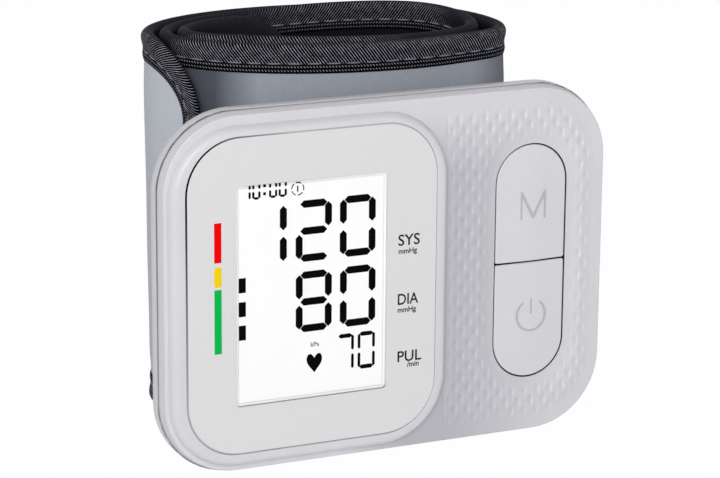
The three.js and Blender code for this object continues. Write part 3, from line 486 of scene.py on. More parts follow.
def stepped_block(outline, depth, steps):
    """A stepped face with its back closed."""
    bm, _ = stepped_face(outline, depth, steps)
    rim = [e for e in bm.edges if e.is_boundary]
    bmesh.ops.holes_fill(bm, edges=rim, sides=0)
    bmesh.ops.recalc_face_normals(bm, faces=bm.faces)
    return bm


def prism(outline, front, back):
    """A rounded bar that runs from front to back, for cutting openings."""
    return stepped_block(outline, back, [(0.0, back - front)])


def box_shape(low, high):
    shape = bmesh.new()
    corners = bmesh.ops.create_cube(shape, size=1)["verts"]
    bmesh.ops.scale(shape, vec=high - low, verts=corners)
    bmesh.ops.translate(shape, vec=(low + high) / 2, verts=corners)
    return shape


print("mesh helpers ready")

# %% [markdown]
# ## Piece helpers
# A mesh becomes a piece: it gets its finish and its body. Openings are cut by taking a second shape away,
# and a skin gets its wall inwards, which keeps the outside as drawn.

# %% Piece helpers
SHARP = 35


def shade(mesh, sharp):
    mesh.shade_smooth()
    mesh.set_sharp_from_angle(angle=math.radians(sharp))


def new_piece(name, bm, finish, body="monitor", replaces=(), sharp=SHARP):
    mesh = bpy.data.meshes.new(name)
    bm.to_mesh(mesh)
    bm.free()
    shade(mesh, sharp)
    mesh.materials.append(finishes[finish])
    piece = add_object(name, mesh)
    if replaces:
        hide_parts(*replaces)
    if body:
        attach(piece, body)
    print(name, "has", len(mesh.polygons), "faces")
    return piece


def settled_mesh(holder):
    """The mesh that an object shows once its modifiers or its lettering are worked out."""
    bpy.context.view_layer.update()
    seen = holder.evaluated_get(bpy.context.evaluated_depsgraph_get())
    return bpy.data.meshes.new_from_object(seen)


def keep_modifiers(piece):
    mesh = settled_mesh(piece)
    old = piece.data
    piece.modifiers.clear()
    piece.data = mesh
    mesh.name = piece.name
    bpy.data.meshes.remove(old)


def carve(piece, cutter_bm, operation="DIFFERENCE"):
    """Cuts a shape out of a piece, or keeps only what is inside it, and keeps the result as its mesh."""
    cutter_mesh = bpy.data.meshes.new("cutter")
    cutter_bm.to_mesh(cutter_mesh)
    cutter_bm.free()
    cutter = add_object("cutter", cutter_mesh)
    cut = piece.modifiers.new("cut", "BOOLEAN")
    cut.operation = operation
    cut.solver = "EXACT"
    cut.object = cutter
    keep_modifiers(piece)
    shade(piece.data, SHARP)
    bpy.data.objects.remove(cutter)
    bpy.data.meshes.remove(cutter_mesh)


def wall(piece, thickness):
    """Gives a skin its wall, inwards."""
    modifier = piece.modifiers.new("wall", "SOLIDIFY")
    modifier.thickness = thickness * MM
    modifier.offset = -1
    modifier.use_even_offset = True


def soften(piece):
    """Lets the large flat faces set the shading, so that the small rounds do not bend it."""
    modifier = piece.modifiers.new("flat_shading", "WEIGHTED_NORMAL")
    modifier.keep_sharp = True


def ring_piece(name, outline, depth, steps, finish, thickness):
    """A flat ring: a stepped face without its middle."""
    bm, middle = stepped_face(outline, depth, steps)
    bmesh.ops.delete(bm, geom=[middle], context="FACES_ONLY")
    wall(new_piece(name, bm, finish), thickness)


print("piece helpers ready")

# %% [markdown]
# ## Front shell
# The front cover is one moulding, a rounded tray with openings for the buttons and the window. It is a
# face that rises and rounds over, and the openings are cut through it with rounded bars.

# %% Front shell tray
cover_low, cover_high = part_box("back_cover")
HOUSING_WIDTH = (cover_high.x - cover_low.x) / MM
HOUSING_HEIGHT = (cover_high.z - cover_low.z) / MM
HOUSING_DEPTH = (cover_high.y - FRONT_Y) / MM
HOUSING_Z = HOUSING_HEIGHT / 2
HOUSING = (HOUSING_WIDTH, HOUSING_HEIGHT, 13.6, 0, HOUSING_Z)
EDGE_INSET = 0.25
EDGE_SLANT = (0.3, 1.85)
EDGE_ROUND = 0.25
PARTING = 3.6
FIELD = 1.5
FRONT_WALL = 1.2
PILL_X = 27.3
PILL = (14.1, 42.9, 7.05, PILL_X, HOUSING_Z)
WINDOW = (30.0, 40.6, 1.0, LENS_X, LENS_Z)
THROUGH = (-2, 8)

tray_steps = [EDGE_SLANT] + round_steps(EDGE_ROUND, EDGE_ROUND, segments=5)
tray, _ = stepped_face(grown(HOUSING, -EDGE_INSET), PARTING, tray_steps)
front_shell = new_piece("front_shell", tray, "field_plastic_painted_shadow", replaces=("front_cover",))
wall(front_shell, FRONT_WALL)
keep_modifiers(front_shell)
for opening in (PILL, WINDOW):
    carve(front_shell, prism(opening, *THROUGH))
soften(front_shell)

# %% [markdown]
# ## Screen frame
# Round the lens the cover swells up in a soft oval round and then runs level. A second face is set on the
# tray and stepped in, and the seat of the lens is cut out of it.

# %% Screen frame
LENS = (46.1, 55.4, 9.5, LENS_X, LENS_Z)
LENS_GAP = 0.24
REACH_LEFT = 2.9
REACH_RIGHT = 2.65
REACH_TOP = 1.85
REACH_LOW = 2.5
FRAME = (LENS[0] + REACH_LEFT + REACH_RIGHT, LENS[1] + REACH_TOP + REACH_LOW, LENS[2] + REACH_RIGHT,
         LENS_X + (REACH_RIGHT - REACH_LEFT) / 2, LENS_Z + (REACH_TOP - REACH_LOW) / 2)
FRAME_ROUND = 1.25
FRAME_START = 0.35
FRAME_SLOPE = (0.5, 0.06)
FRAME_FOOT = 0.02

swell_steps = round_steps(FRAME_ROUND, FIELD - FRAME_SLOPE[1], segments=9, start=FRAME_START)
frame_block = stepped_block(FRAME, FIELD + FRAME_FOOT, [(0.0, FRAME_FOOT)] + swell_steps + [FRAME_SLOPE])
screen_frame = new_piece("screen_frame", frame_block, "shell_plastic", replaces=("front_cover",))
carve(screen_frame, prism(grown(LENS, LENS_GAP), *THROUGH))
soften(screen_frame)

# %% [markdown]
# ## Lens groove shade
# A dark ring in the groove round the lens is painted shade: it stands in for the shade in the groove, and
# its finish paints it black at the upper left and pale towards the right and the foot. Only what shows is
# made: a flat ring that runs a little way under the lens.

# %% Lens groove shade
GROOVE_SHADE_SINK = 0.27
GROOVE_SHADE_WIDTH = 0.8
GROOVE_SHADE_OUT = LENS_GAP - 0.01
GROOVE_SHADE_THICKNESS = 0.3
groove_shade_outline = (LENS[0] + 2 * GROOVE_SHADE_OUT, LENS[1] + 2 * GROOVE_SHADE_OUT, LENS[2] + LENS_GAP, LENS_X, LENS_Z)
ring_piece("gasket_line", groove_shade_outline, GROOVE_SHADE_SINK, [(GROOVE_SHADE_WIDTH, 0.0)], "gasket_black",
           GROOVE_SHADE_THICKNESS)

# %% [markdown]
# ## Grip relief
# A lattice of almond hollows covers the field and fades out towards the pill, the frame and the rim. It is
# a fine grid, raised by a formula: each hollow falls gently from the left and comes up steeply at the
# right.

# %% Grip relief
RELIEF_STEP = (0.12, 0.25)
RELIEF_SEAT = 0.01
RELIEF_LIFT = 0.02
LIFT_PACE = 20
DIAMOND_WIDTH = 2.53
DIAMOND_HEIGHT = 4.06
RELIEF_HEIGHT = 0.27
HOLLOW_WAIST = 0.6
HOLLOW_LEAST = 0.05
HOLLOW_DEEPEST = 0.62
HOLLOW_TAPER = 6
FADE_PILL = (0.7, 3.6)
FADE_FRAME = (0.3, 1.8)
FADE_RIM = (2.4, 5.5)
FADE_LEFT = (-0.5, 1.0)
frame_right = FRAME[3] + FRAME[0] / 2
relief_width = HOUSING_WIDTH / 2 - frame_right


def outline_distance(x, z, outline):
    """Distance to an outline in mm, negative inside."""
    width, height, radius, x_centre, z_centre = outline
    over_x = abs(x - x_centre) - width / 2 + radius
    over_z = abs(z - z_centre) - height / 2 + radius
    outside = math.hypot(max(over_x, 0), max(over_z, 0))
    return outside + min(max(over_x, over_z), 0) - radius


def smooth_share(value, low, high):
    share = min(max((value - low) / (high - low), 0), 1)
    return share * share * (3 - 2 * share)


def relief_rise(x, z):
    """Ridge height in mm over the field, and how far the pattern has faded in."""
    fade = smooth_share(outline_distance(x, z, PILL), *FADE_PILL)
    fade *= smooth_share(outline_distance(x, z, FRAME), *FADE_FRAME)
    fade *= smooth_share(-outline_distance(x, z, HOUSING), *FADE_RIM)
    fade *= smooth_share(x - frame_right, *FADE_LEFT)
    one = x / DIAMOND_WIDTH + z / DIAMOND_HEIGHT
    other = x / DIAMOND_WIDTH - z / DIAMOND_HEIGHT
    across = (one % 1 - 0.5) + (other % 1 - 0.5)
    up = (one % 1 - 0.5) - (other % 1 - 0.5)
    slimming = 1 - up * up
    place = across / max(HOLLOW_WAIST * slimming, HOLLOW_LEAST)
    fall = smooth_share(place, -1, HOLLOW_DEEPEST)
    return_up = smooth_share(place, HOLLOW_DEEPEST, 1)
    hollow = fall * (1 - return_up) * slimming ** HOLLOW_TAPER
    return fade * RELIEF_HEIGHT * (1 - hollow), fade


bm = bmesh.new()
relief_verts = bmesh.ops.create_grid(bm, x_segments=round(relief_width / RELIEF_STEP[0]),
                                     y_segments=round(HOUSING_HEIGHT / RELIEF_STEP[1]), size=0.5)["verts"]
bmesh.ops.rotate(bm, matrix=Matrix.Rotation(math.pi / 2, 3, "X"), verts=relief_verts)
bmesh.ops.scale(bm, vec=(relief_width, 1, HOUSING_HEIGHT), verts=relief_verts)
bmesh.ops.translate(bm, vec=(frame_right + relief_width / 2, 0, HOUSING_Z), verts=relief_verts)
bare = []
for vert in relief_verts:
    rise, fade = relief_rise(vert.co.x, vert.co.z)
    if fade <= 0:
        bare.append(vert)
    lift = rise + RELIEF_LIFT * min(1, fade * LIFT_PACE)
    vert.co = at(vert.co.x, FIELD + RELIEF_SEAT - lift, vert.co.z)
bmesh.ops.delete(bm, geom=bare, context="VERTS")
new_piece("grip_relief", bm, "field_plastic_painted_shadow", sharp=80)

# %% [markdown]
# ## Lens and screen
# The lens is a flat panel, printed grey from behind, with a clear window. The window reads as a shallow
# step down to the white screen, so the panel has a real recess with the screen as its floor.

# %% Lens and screen
LENS_SINK = 0.15
LENS_EDGE = 0.08
LENS_BACK = 1.2
LENS_SHIFT = (0.2, -0.06)
SCREEN = (28.05, 38.8, 0.7, LENS_X - 0.13, LENS_Z - 0.05)
SCREEN_BACK = 1.1
SCREEN_DEPTH = 0.55
SCREEN_FIT = 0.02
FILM_INSET = 0.5
FILM_RISE = 0.1

lens_outline = (*LENS[:3], LENS_X + LENS_SHIFT[0], LENS_Z + LENS_SHIFT[1])
lens_steps = [(0.0, LENS_BACK - LENS_SINK - LENS_EDGE)] + round_steps(LENS_EDGE, LENS_EDGE, segments=3)
lens_block = stepped_block(lens_outline, LENS_BACK, lens_steps)
lens_panel = new_piece("lens_panel", lens_block, "lens_print", replaces=("display_lens",))
carve(lens_panel, prism(SCREEN, *THROUGH))
soften(lens_panel)

screen_outline = (SCREEN[0] - 2 * SCREEN_FIT, SCREEN[1] - 2 * SCREEN_FIT, *SCREEN[2:])
screen_steps = [(0.0, SCREEN_BACK - SCREEN_DEPTH - FILM_RISE), (FILM_INSET, 0.0), (0.0, FILM_RISE)]
screen_block = stepped_block(screen_outline, SCREEN_BACK, screen_steps)
new_piece("screen_plate", screen_block, "screen_glass", replaces=("lcd_panel",))

# %% [markdown]
# ## Edges of the window
# The print ends in a pale cut edge round the window: the side wall of a rounded bar, turned inside out.
# The film on the screen ends in a fine line a little further in: a flat ring.

# %% Edges of the window
EDGE_BACK = 1.0
EDGE_WALL = -0.05
FOOT_FADE = (0.2, 0.8)
FILM_LINE = 0.12
FILM_CORNER = 0.3
FILM_PROUD = 0.01
FILM_THICKNESS = 0.02
window_foot = SCREEN[4] - SCREEN[1] / 2


def foot_shade(parts):
    """The lower edge of the window turns away from the light, so it reads as a darker line."""
    low, high = ((window_foot + above) * MM for above in FOOT_FADE)
    return ramp(parts[2], low, high, 1.0, 0.0)


bm = prism(SCREEN, LENS_SINK, EDGE_BACK)
caps = [f for f in bm.faces if abs(f.normal.y) > 0.9]
bmesh.ops.delete(bm, geom=caps, context="FACES_ONLY")
bmesh.ops.reverse_faces(bm, faces=bm.faces)
shade_over(finishes["window_edge"], foot_shade, (150, 150, 158))
wall(new_piece("window_edge", bm, "window_edge"), EDGE_WALL)

film_outline = (SCREEN[0] - 2 * FILM_INSET, SCREEN[1] - 2 * FILM_INSET, FILM_CORNER, *SCREEN[3:])
ring_piece("film_edge", film_outline, SCREEN_DEPTH - FILM_PROUD, [(FILM_LINE, 0.0)], "film_edge",
           FILM_THICKNESS)

# %% [markdown]
# ## Segments
# Liquid crystal digits are made of bars with pointed ends. A bar is six points with a hair of thickness,
# and a digit is a choice of seven bars. Places are counted from the middle of the lens.

# %% Segments
MARK_THICKNESS = 0.03
# How much shorter a level and an upright bar is than its place, in strokes
LEVEL_TUCK = 1.33
UPRIGHT_TUCK = 0.85
LIT = {"0": "abcdef", "1": "bc", "2": "abged", "7": "abc", "8": "abcdefg"}


def on_lens(x, z, depth):
    """A point on the lens panel, counted from its centre in mm."""
    return at(LENS_X + x, depth, LENS_Z + z)


def flat_shape(bm, points):
    """A thin plate on the points, turned so that it looks to the front."""
    face = bm.faces.new([bm.verts.new(p) for p in points])
    face.normal_update()
    if face.normal.y > 0:
        face.normal_flip()
    lifted = bmesh.ops.extrude_face_region(bm, geom=[face])["geom"]
    bmesh.ops.translate(bm, vec=(0, -MARK_THICKNESS * MM, 0),
                        verts=[v for v in lifted if isinstance(v, bmesh.types.BMVert)])


def plate(bm, x, z, width, height, depth):
    """An upright rectangle, given by its middle."""
    corners = ((-0.5, -0.5), (0.5, -0.5), (0.5, 0.5), (-0.5, 0.5))
    flat_shape(bm, [on_lens(x + a * width, z + b * height, depth) for a, b in corners])


def bar(bm, x, z, length, stroke, upright):
    """A bar with pointed ends on the screen, level or upright."""
    half = length / 2
    side = stroke / 2
    points = [(-half, 0), (-half + side, -side), (half - side, -side),
              (half, 0), (half - side, side), (-half + side, side)]
    if upright:
        points = [(b, a) for a, b in points]
    flat_shape(bm, [on_lens(x + a, z + b, SCREEN_DEPTH) for a, b in points])


def digit(bm, figure, x, z, width, height, upright_stroke, level_stroke, skip=""):
    column = (width - upright_stroke) / 2
    level = (height - level_stroke) / 2
    level_length = width - LEVEL_TUCK * upright_stroke
    upright_length = height / 2 - UPRIGHT_TUCK * level_stroke
    places = {"a": (0, level, False), "b": (column, height / 4, True), "c": (column, -height / 4, True),
              "d": (0, -level, False), "e": (-column, -height / 4, True), "f": (-column, height / 4, True),
              "g": (0, 0, False)}
    for name in LIT[figure]:
        if name in skip:
            continue
        across, up, upright = places[name]
        length, stroke = (upright_length, upright_stroke) if upright else (level_length, level_stroke)
        bar(bm, x + across, z + up, length, stroke, upright)


print("a figure has up to", max(len(bars) for bars in LIT.values()), "bars")

# %% [markdown]
# ## Screen marks
# Two large readings, a pulse figure with a heart, the clock, a user sign in a broken ring and three blocks
# of a level bar are all one thin print.

# %% Screen marks
# Width, height, upright stroke and level stroke of a figure
BIG = (6.7, 10.75, 1.28, 1.28)
SMALL = (3.25, 6.7, 0.5, 0.75)
CLOCK = (1.5, 3.2, 0.4, 0.42)
READINGS = (("1", -8.08, 10.3, BIG), ("2", 0.25, 10.3, BIG), ("0", 8.45, 10.3, BIG),
            ("8", 0.29, -2.2, BIG), ("0", 8.53, -2.2, BIG),
            ("7", 6.25, -12.15, SMALL), ("0", 10.24, -12.15, SMALL))
CLOCK_FIGURES = (("1", -12.05), ("0", -10.29), ("0", -7.24), ("0", -5.48))
CLOCK_Z = 18.3
COLON = (-8.79, (17.57, 18.95), 0.5)
LEVEL_BLOCKS = (-12.89, (1.96, -2.25, -6.4), (1.28, 2.6))
SIGN_X = -2.74
SIGN_Z = 17.85
SIGN_RADIUS = 1.12
SIGN_STROKE = 0.18
SIGN_BAR = (1.1, 0.24)
SIGN_DASHES = 5
DASH_START_DEG = 126
DASH_DEG = 52
HEART = (0.43, -13.05)
HEART_SIZE = (1.45, 1.78)
HEART_POINTS = 28
HEART_TAPER = 2.2

bm = bmesh.new()
for figure, x, z, size in READINGS:
    digit(bm, figure, x, z, *size)
for figure, x in CLOCK_FIGURES:
    digit(bm, figure, x, CLOCK_Z, *CLOCK, skip="a")
colon_x, colon_rows, colon_side = COLON
for z in colon_rows:
    plate(bm, colon_x, z, colon_side, colon_side, SCREEN_DEPTH)
block_x, block_rows, block_size = LEVEL_BLOCKS
for z in block_rows:
    plate(bm, block_x, z, *block_size, SCREEN_DEPTH)

for dash in range(SIGN_DASHES):
    start = DASH_START_DEG + 360 / SIGN_DASHES * dash
    turn = [math.radians(start + DASH_DEG * share) for share in (0, 0.5, 1)]
    rim = [(SIGN_RADIUS + SIGN_STROKE / 2, a) for a in turn]
    rim += [(SIGN_RADIUS - SIGN_STROKE / 2, a) for a in reversed(turn)]
    flat_shape(bm, [on_lens(SIGN_X + r * math.cos(a), SIGN_Z + r * math.sin(a), SCREEN_DEPTH)
                    for r, a in rim])
bar(bm, SIGN_X, SIGN_Z, *SIGN_BAR, True)

heart_rim = []
for step in range(HEART_POINTS):
    a = 2 * math.pi * step / HEART_POINTS
    across = math.copysign(abs(math.sin(a)) ** HEART_TAPER, math.sin(a))
    up = (13 * math.cos(a) - 5 * math.cos(2 * a) - 2 * math.cos(3 * a) - math.cos(4 * a)) / 15
    heart_rim.append(on_lens(HEART[0] + across * HEART_SIZE[0], HEART[1] + up * HEART_SIZE[1], SCREEN_DEPTH))
flat_shape(bm, heart_rim)
new_piece("screen_marks", bm, "segment_ink", sharp=20)

# %% [markdown]
# ## Colour scale and labels
# A bar in three colours and short labels are printed on the lens. As thin meshes they stay sharp at any
# distance, so plain lettering is turned into a mesh and laid on the panel.

# %% Colour scale and labels
SCALE_X = -17.45
SCALE_WIDTH = 1.3
SCALE = (("scale_high", "scale_red", 6.5, 13.4), ("scale_middle", "scale_yellow", 2.3, 5.7),
         ("scale_low", "scale_green", -9.5, 1.8))
CAPITAL_SHARE = 0.7
LABEL_HEIGHT = 1.95
LABEL_BOLD = 0.035
UNIT_HEIGHT = 0.92
UNIT_BOLD = 0.03
SCREEN_UNIT = ("kPa", -0.3, -10.35, 0.8)
SCREEN_UNIT_BOLD = 0.01
LABELS = (("SYS", 15.9, 5.95, 1.0), ("DIA", 15.85, -4.65, 0.87), ("PUL", 15.9, -15.05, 1.0))
UNITS = (("upper", "mmHg", 16.0, 4.5), ("middle", "mmHg", 15.95, -6.05), ("lower", "/min", 17.9, -16.1))

for name, finish, low, high in SCALE:
    bm = bmesh.new()
    plate(bm, SCALE_X, (low + high) / 2, SCALE_WIDTH, high - low, LENS_SINK)
    new_piece(name, bm, finish, sharp=20)


def letters(name, words, x, z, height, finish, slot, depth, bolder, slim=1.0):
    """Plain lettering as a thin mesh, with its lower left corner at x, z."""
    curve = bpy.data.curves.new(name, "FONT")
    curve.body = words
    curve.size = height * MM / CAPITAL_SHARE
    curve.extrude = MARK_THICKNESS * MM / 2
    curve.offset = bolder * MM
    curve.resolution_u = 4
    holder = add_object(name + "_curve", curve)
    mesh = settled_mesh(holder)
    bpy.data.objects.remove(holder)
    bpy.data.curves.remove(curve)
    stand = Matrix.Rotation(math.pi / 2, 4, "X")
    mesh.transform(Matrix.Translation(on_lens(x, z, depth)) @ stand @ Matrix.Diagonal((slim, 1, 1, 1)))
    bm = bmesh.new()
    bm.from_mesh(mesh)
    bpy.data.meshes.remove(mesh)
    bmesh.ops.remove_doubles(bm, verts=bm.verts, dist=1e-7)
    new_piece(name, bm, finish, sharp=20)


for words, x, z, slim in LABELS:
    letters("label_" + words.lower(), words, x, z, LABEL_HEIGHT, "label_ink", "lens", LENS_SINK, LABEL_BOLD,
            slim)
for place, words, x, z in UNITS:
    letters("unit_" + place, words, x, z, UNIT_HEIGHT, "label_ink", "lens", LENS_SINK, UNIT_BOLD)
letters("unit_screen", *SCREEN_UNIT, "segment_ink", "lcd_glass", SCREEN_DEPTH, SCREEN_UNIT_BOLD)

# %% [markdown]
# ## Buttons
# The two buttons are halves of one pill: a face with two large and two small corners rises and rounds
# over. It is cut into strips and rows, so that it can be raised to a soft crown along the middle.

# %% Buttons
BUTTON_GAP = 0.24
BUTTON_SPLIT = 0.28
BUTTON_ROUND = 0.22
BUTTON_BACK = 4.4
BUTTON_CROWN = 0.3
CROWN_FROM = 0.2
CROWN_MARGIN = 0.05
STRIPS = 14
ROWS = 10
BUTTON_WIDTH = PILL[0] - 2 * BUTTON_GAP
BUTTON_HEIGHT = (PILL[1] - 2 * BUTTON_GAP - BUTTON_SPLIT) / 2
LARGE = BUTTON_WIDTH / 2
SMALL_CORNER = 0.45
button_away = (BUTTON_HEIGHT + BUTTON_SPLIT) / 2


def crown_rise(point):
    """How far the button's face stands up in mm at a point: highest along its middle line."""
    if point.y > FRONT_Y + (FIELD + BUTTON_ROUND + CROWN_MARGIN) * MM:
        return 0.0
    inside = -outline_distance(point.x / MM, point.z / MM, PILL)
    return BUTTON_CROWN * smooth_share(inside, CROWN_FROM, PILL[0] / 2)


def pill_half(name, corners, middle, body, node):
    steps = [(0.0, BUTTON_BACK - FIELD - BUTTON_ROUND)] + round_steps(BUTTON_ROUND, BUTTON_ROUND, segments=3)
    half = stepped_block((BUTTON_WIDTH, BUTTON_HEIGHT, corners, PILL_X, middle), BUTTON_BACK, steps)
    cuts = [(PILL_X + BUTTON_WIDTH * (i / STRIPS - 0.5), 0, (1, 0, 0)) for i in range(1, STRIPS)]
    cuts += [(0, middle + BUTTON_HEIGHT * (i / ROWS - 0.5), (0, 0, 1)) for i in range(1, ROWS)]
    for x, z, way in cuts:
        geometry = half.verts[:] + half.edges[:] + half.faces[:]
        bmesh.ops.bisect_plane(half, geom=geometry, plane_co=at(x, 0, z), plane_no=way)
    for vert in half.verts:
        vert.co.y -= crown_rise(vert.co) * MM
    soften(new_piece(name, half, "button_plastic", body, (node,)))


pill_half("memory_key_cap", (LARGE, SMALL_CORNER), HOUSING_Z + button_away, "memory_key", "memory_button")
pill_half("power_key_cap", (SMALL_CORNER, LARGE), HOUSING_Z - button_away, "power_key", "power_button")

# %% [markdown]
# ## Button gap shade
# The black in the gaps round the buttons and between them is painted shade: a black ring and a black bar
# stand in for the shade in the gaps, which shows as a thin line. Only what fills the gaps is made: a slim
# ring and a slim bar.

# %% Button gap shade
GAP_SHADE_SINK = 0.16
GAP_SHADE_DEPTH = 1.0
GAP_SHADE_CLEAR = 0.02
gap_shade_level = FIELD + GAP_SHADE_SINK
ring_piece("key_mat_ring", grown(PILL, -GAP_SHADE_CLEAR), gap_shade_level, [(BUTTON_GAP - 2 * GAP_SHADE_CLEAR, 0.0)],
           "key_mat", GAP_SHADE_DEPTH)
gap_shade_side = PILL[0] / 2 - BUTTON_GAP
gap_shade_half = BUTTON_SPLIT / 2 - GAP_SHADE_CLEAR
gap_shade_low = at(PILL_X - gap_shade_side, gap_shade_level, HOUSING_Z - gap_shade_half)
gap_shade_high = at(PILL_X + gap_shade_side, gap_shade_level + GAP_SHADE_DEPTH, HOUSING_Z + gap_shade_half)
new_piece("key_mat_bar", box_shape(gap_shade_low, gap_shade_high), "key_mat")

# %% [markdown]
# ## Button marks
# The letter M and the power sign are a little darker than the buttons that they ride on. The letter is one
# closed outline, and the ring is a short edge that is spun round, with a bar in its gap.

# %% Button marks
MARK_LEVEL = FIELD - BUTTON_CROWN - 0.005
M_LEFT = 40.22
M_RIGHT = 45.12
M_FOOT = 7.8
M_HEAD = 12.85
M_STROKE = 0.29
M_CROTCH = M_HEAD - 1.1
M_TIP = M_FOOT + 0.12
M_TIP_HALF = 0.17
M_NOTCH = M_FOOT + 0.95
RING_X = 42.71
RING_Z = -9.86
RING_RADIUS = 2.84
RING_STROKE = 0.32
RING_GAP_DEG = 34
RING_STEPS = 40
POWER_BAR = (RING_X - 0.04, -8.225, RING_STROKE, 2.75)

m_middle = (M_LEFT + M_RIGHT) / 2
m_inner = M_LEFT + M_STROKE
m_half = [(m_inner, M_HEAD), (M_LEFT, M_HEAD), (M_LEFT, M_FOOT), (m_inner, M_FOOT), (m_inner, M_CROTCH),
          (m_middle - M_TIP_HALF, M_TIP)]
m_outline = [(m_middle, M_NOTCH)] + m_half + [(2 * m_middle - x, z) for x, z in reversed(m_half)]
bm = bmesh.new()
flat_shape(bm, [on_lens(x, z, MARK_LEVEL) for x, z in m_outline])
new_piece("memory_mark", bm, "button_mark", "memory_key", sharp=20)

bm = bmesh.new()
ring_middle = on_lens(RING_X, RING_Z, FIELD)
ring_ends = [bm.verts.new(on_lens(RING_X, RING_Z + radius, MARK_LEVEL - MARK_THICKNESS))
             for radius in (RING_RADIUS - RING_STROKE / 2, RING_RADIUS + RING_STROKE / 2)]
ring_start = bm.edges.new(ring_ends)
bmesh.ops.rotate(bm, cent=ring_middle, matrix=Matrix.Rotation(math.radians(RING_GAP_DEG), 3, "Y"),
                 verts=ring_ends)
bmesh.ops.spin(bm, geom=ring_ends + [ring_start], cent=ring_middle, axis=(0, 1, 0),
               angle=math.radians(360 - 2 * RING_GAP_DEG), steps=RING_STEPS)
if sum(f.calc_area() * f.normal.y for f in bm.faces) > 0:
    bmesh.ops.reverse_faces(bm, faces=bm.faces)
bmesh.ops.solidify(bm, geom=bm.faces[:], thickness=-MARK_THICKNESS * MM)
bmesh.ops.recalc_face_normals(bm, faces=bm.faces)
plate(bm, *POWER_BAR, MARK_LEVEL)
new_piece("power_mark", bm, "button_mark", "power_key", sharp=20)

# %% [markdown]
# ## Back shell
# The back cover runs straight back and then sweeps in to a smaller flat back. The CAD cover keeps its
# inside, and a smooth skin is laid over it by inset steps along a curve, with openings for the screws and
# the door.

# %% Back shell skin
BACK_START = 3.84
SIDE_FLAT = 1.86
SWEEP_INSET = 6.5
SWEEP_RISE = 1.2
BACK_INSET = 12.5
SWEEP_SEGMENTS = 16
SKIN = 0.06
SCREW_NODES = ("case_screw_1", "case_screw_2", "case_screw_3", "case_screw_4")
WELL_RADIUS = 2.2 * MM
WELL_DEPTH = 20 * MM
DOOR_FIT = Vector((0.2, 0.2, 0.2)) * MM
DOOR_REACH = Vector((10 * MM, 0, 0))
door_low, door_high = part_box("battery_door")


def sweep_point(share):
    """Inset and depth along the curve from the side to the flat back."""
    start = Vector((0.0, BACK_START + SIDE_FLAT))
    pull = Vector((SWEEP_INSET, HOUSING_DEPTH - SWEEP_RISE))
    end = Vector((BACK_INSET, HOUSING_DEPTH))
    return start * (1 - share) ** 2 + pull * 2 * share * (1 - share) + end * share ** 2


def back_piece(name, body):
    """The outside of the back cover, grown by a hair so that it lies over the CAD cover."""
    stops = [sweep_point(i / SWEEP_SEGMENTS) for i in range(SWEEP_SEGMENTS + 1)]
    steps = [(0.0, SIDE_FLAT + 2 * SKIN)] + [(b.x - a.x, b.y - a.y) for a, b in zip(stops, stops[1:])]
    form, _ = stepped_face(grown(HOUSING, SKIN), BACK_START - SKIN, steps, facing=1)
    piece = new_piece(name, form, "shell_plastic", body)
    wall(piece, SKIN)
    keep_modifiers(piece)
    return piece


back_skin = back_piece("back_skin", "monitor")
carve(back_skin, box_shape(door_low - DOOR_FIT, door_high + DOOR_FIT + DOOR_REACH))
for node in SCREW_NODES:
    low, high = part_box(node)
    well = bmesh.new()
    barrel = bmesh.ops.create_cone(well, cap_ends=True, segments=32, radius1=WELL_RADIUS,
                                   radius2=WELL_RADIUS, depth=WELL_DEPTH)["verts"]
    bmesh.ops.rotate(well, matrix=Matrix.Rotation(math.pi / 2, 3, "X"), verts=barrel)
    well_middle = Vector(((low.x + high.x) / 2, high.y + WELL_DEPTH / 2, (low.z + high.z) / 2))
    bmesh.ops.translate(well, vec=well_middle, verts=barrel)
    carve(back_skin, well)

door_skin = back_piece("door_skin", "battery_hatch")
carve(door_skin, box_shape(door_low, door_high + DOOR_REACH), "INTERSECT")
for piece in (back_skin, door_skin):
    soften(piece)

# %% [markdown]
# ## Seam shade
# A thin dark line runs all round between the two covers. It is painted shade: a dark ring with a short wall
# that sits a little below both edges stands in for the shade in the seam, and greys towards the right and
# the foot.

# %% Seam shade
SEAM_SHADE_INSET = 0.08
SEAM_SHADE_FRONT = 3.63
SEAM_SHADE_BACK = 3.77
SEAM_SHADE_BAND = 0.7
SEAM_SHADE_THICKNESS = 0.05
seam_shade_steps = [(0.0, SEAM_SHADE_BACK - SEAM_SHADE_FRONT), (SEAM_SHADE_BAND, 0.0)]
ring_piece("seam_seal", grown(HOUSING, -SEAM_SHADE_INSET), SEAM_SHADE_BACK, seam_shade_steps, "seam_seal",
           SEAM_SHADE_THICKNESS)

# %% [markdown]
# ## The rolled cuff
# The cuff is one long padded band, rolled in an oval spiral of about two and a half turns. Every cloth
# piece is carried onto that spiral: a point is given by its distance along the band, its height, and how
# far it stands out. The cloth keeps its cut size that way.

# %% Winding
CUFF_HEIGHT = (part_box("cuff_binding")[1].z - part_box("cuff_binding")[0].z) / MM
LOOP_LENGTH = 67.9
LOOP_DEPTH = 41.4
LOOP_TILT = math.radians(9)
LOOP_OFFSET = 6.75
WINDING_PITCH = 3.3
INNER_END_TURN = 0.262
FRONT_TURNS = (1.5, 2.0)
HINGE_TURN = 2.36
OUTER_LEFT_TURN = 2.5
OUTER_END_TURN = 2.602
BAND_HALF = 1.1
END_RADIUS = 14.0
ROLL_LEAN = 0.8
FOOT_REACH = 1.4
# Most in mm, the turn where it is most, and how many turns it takes to die away
BACK_LIFT = (1.2, 1.14, 0.15)
FRONT_LIFT = (0.75, 0.66, 0.16)
RIGHT_SLACK = (2.2, 1.0, 0.16)
# The right end of the roll is bent in and forwards, from one place along the oval to another
BENT_IN = 1.5
BENT_FORWARDS = 4.0
BEND_FROM = 18.0
BEND_TO = 32.0

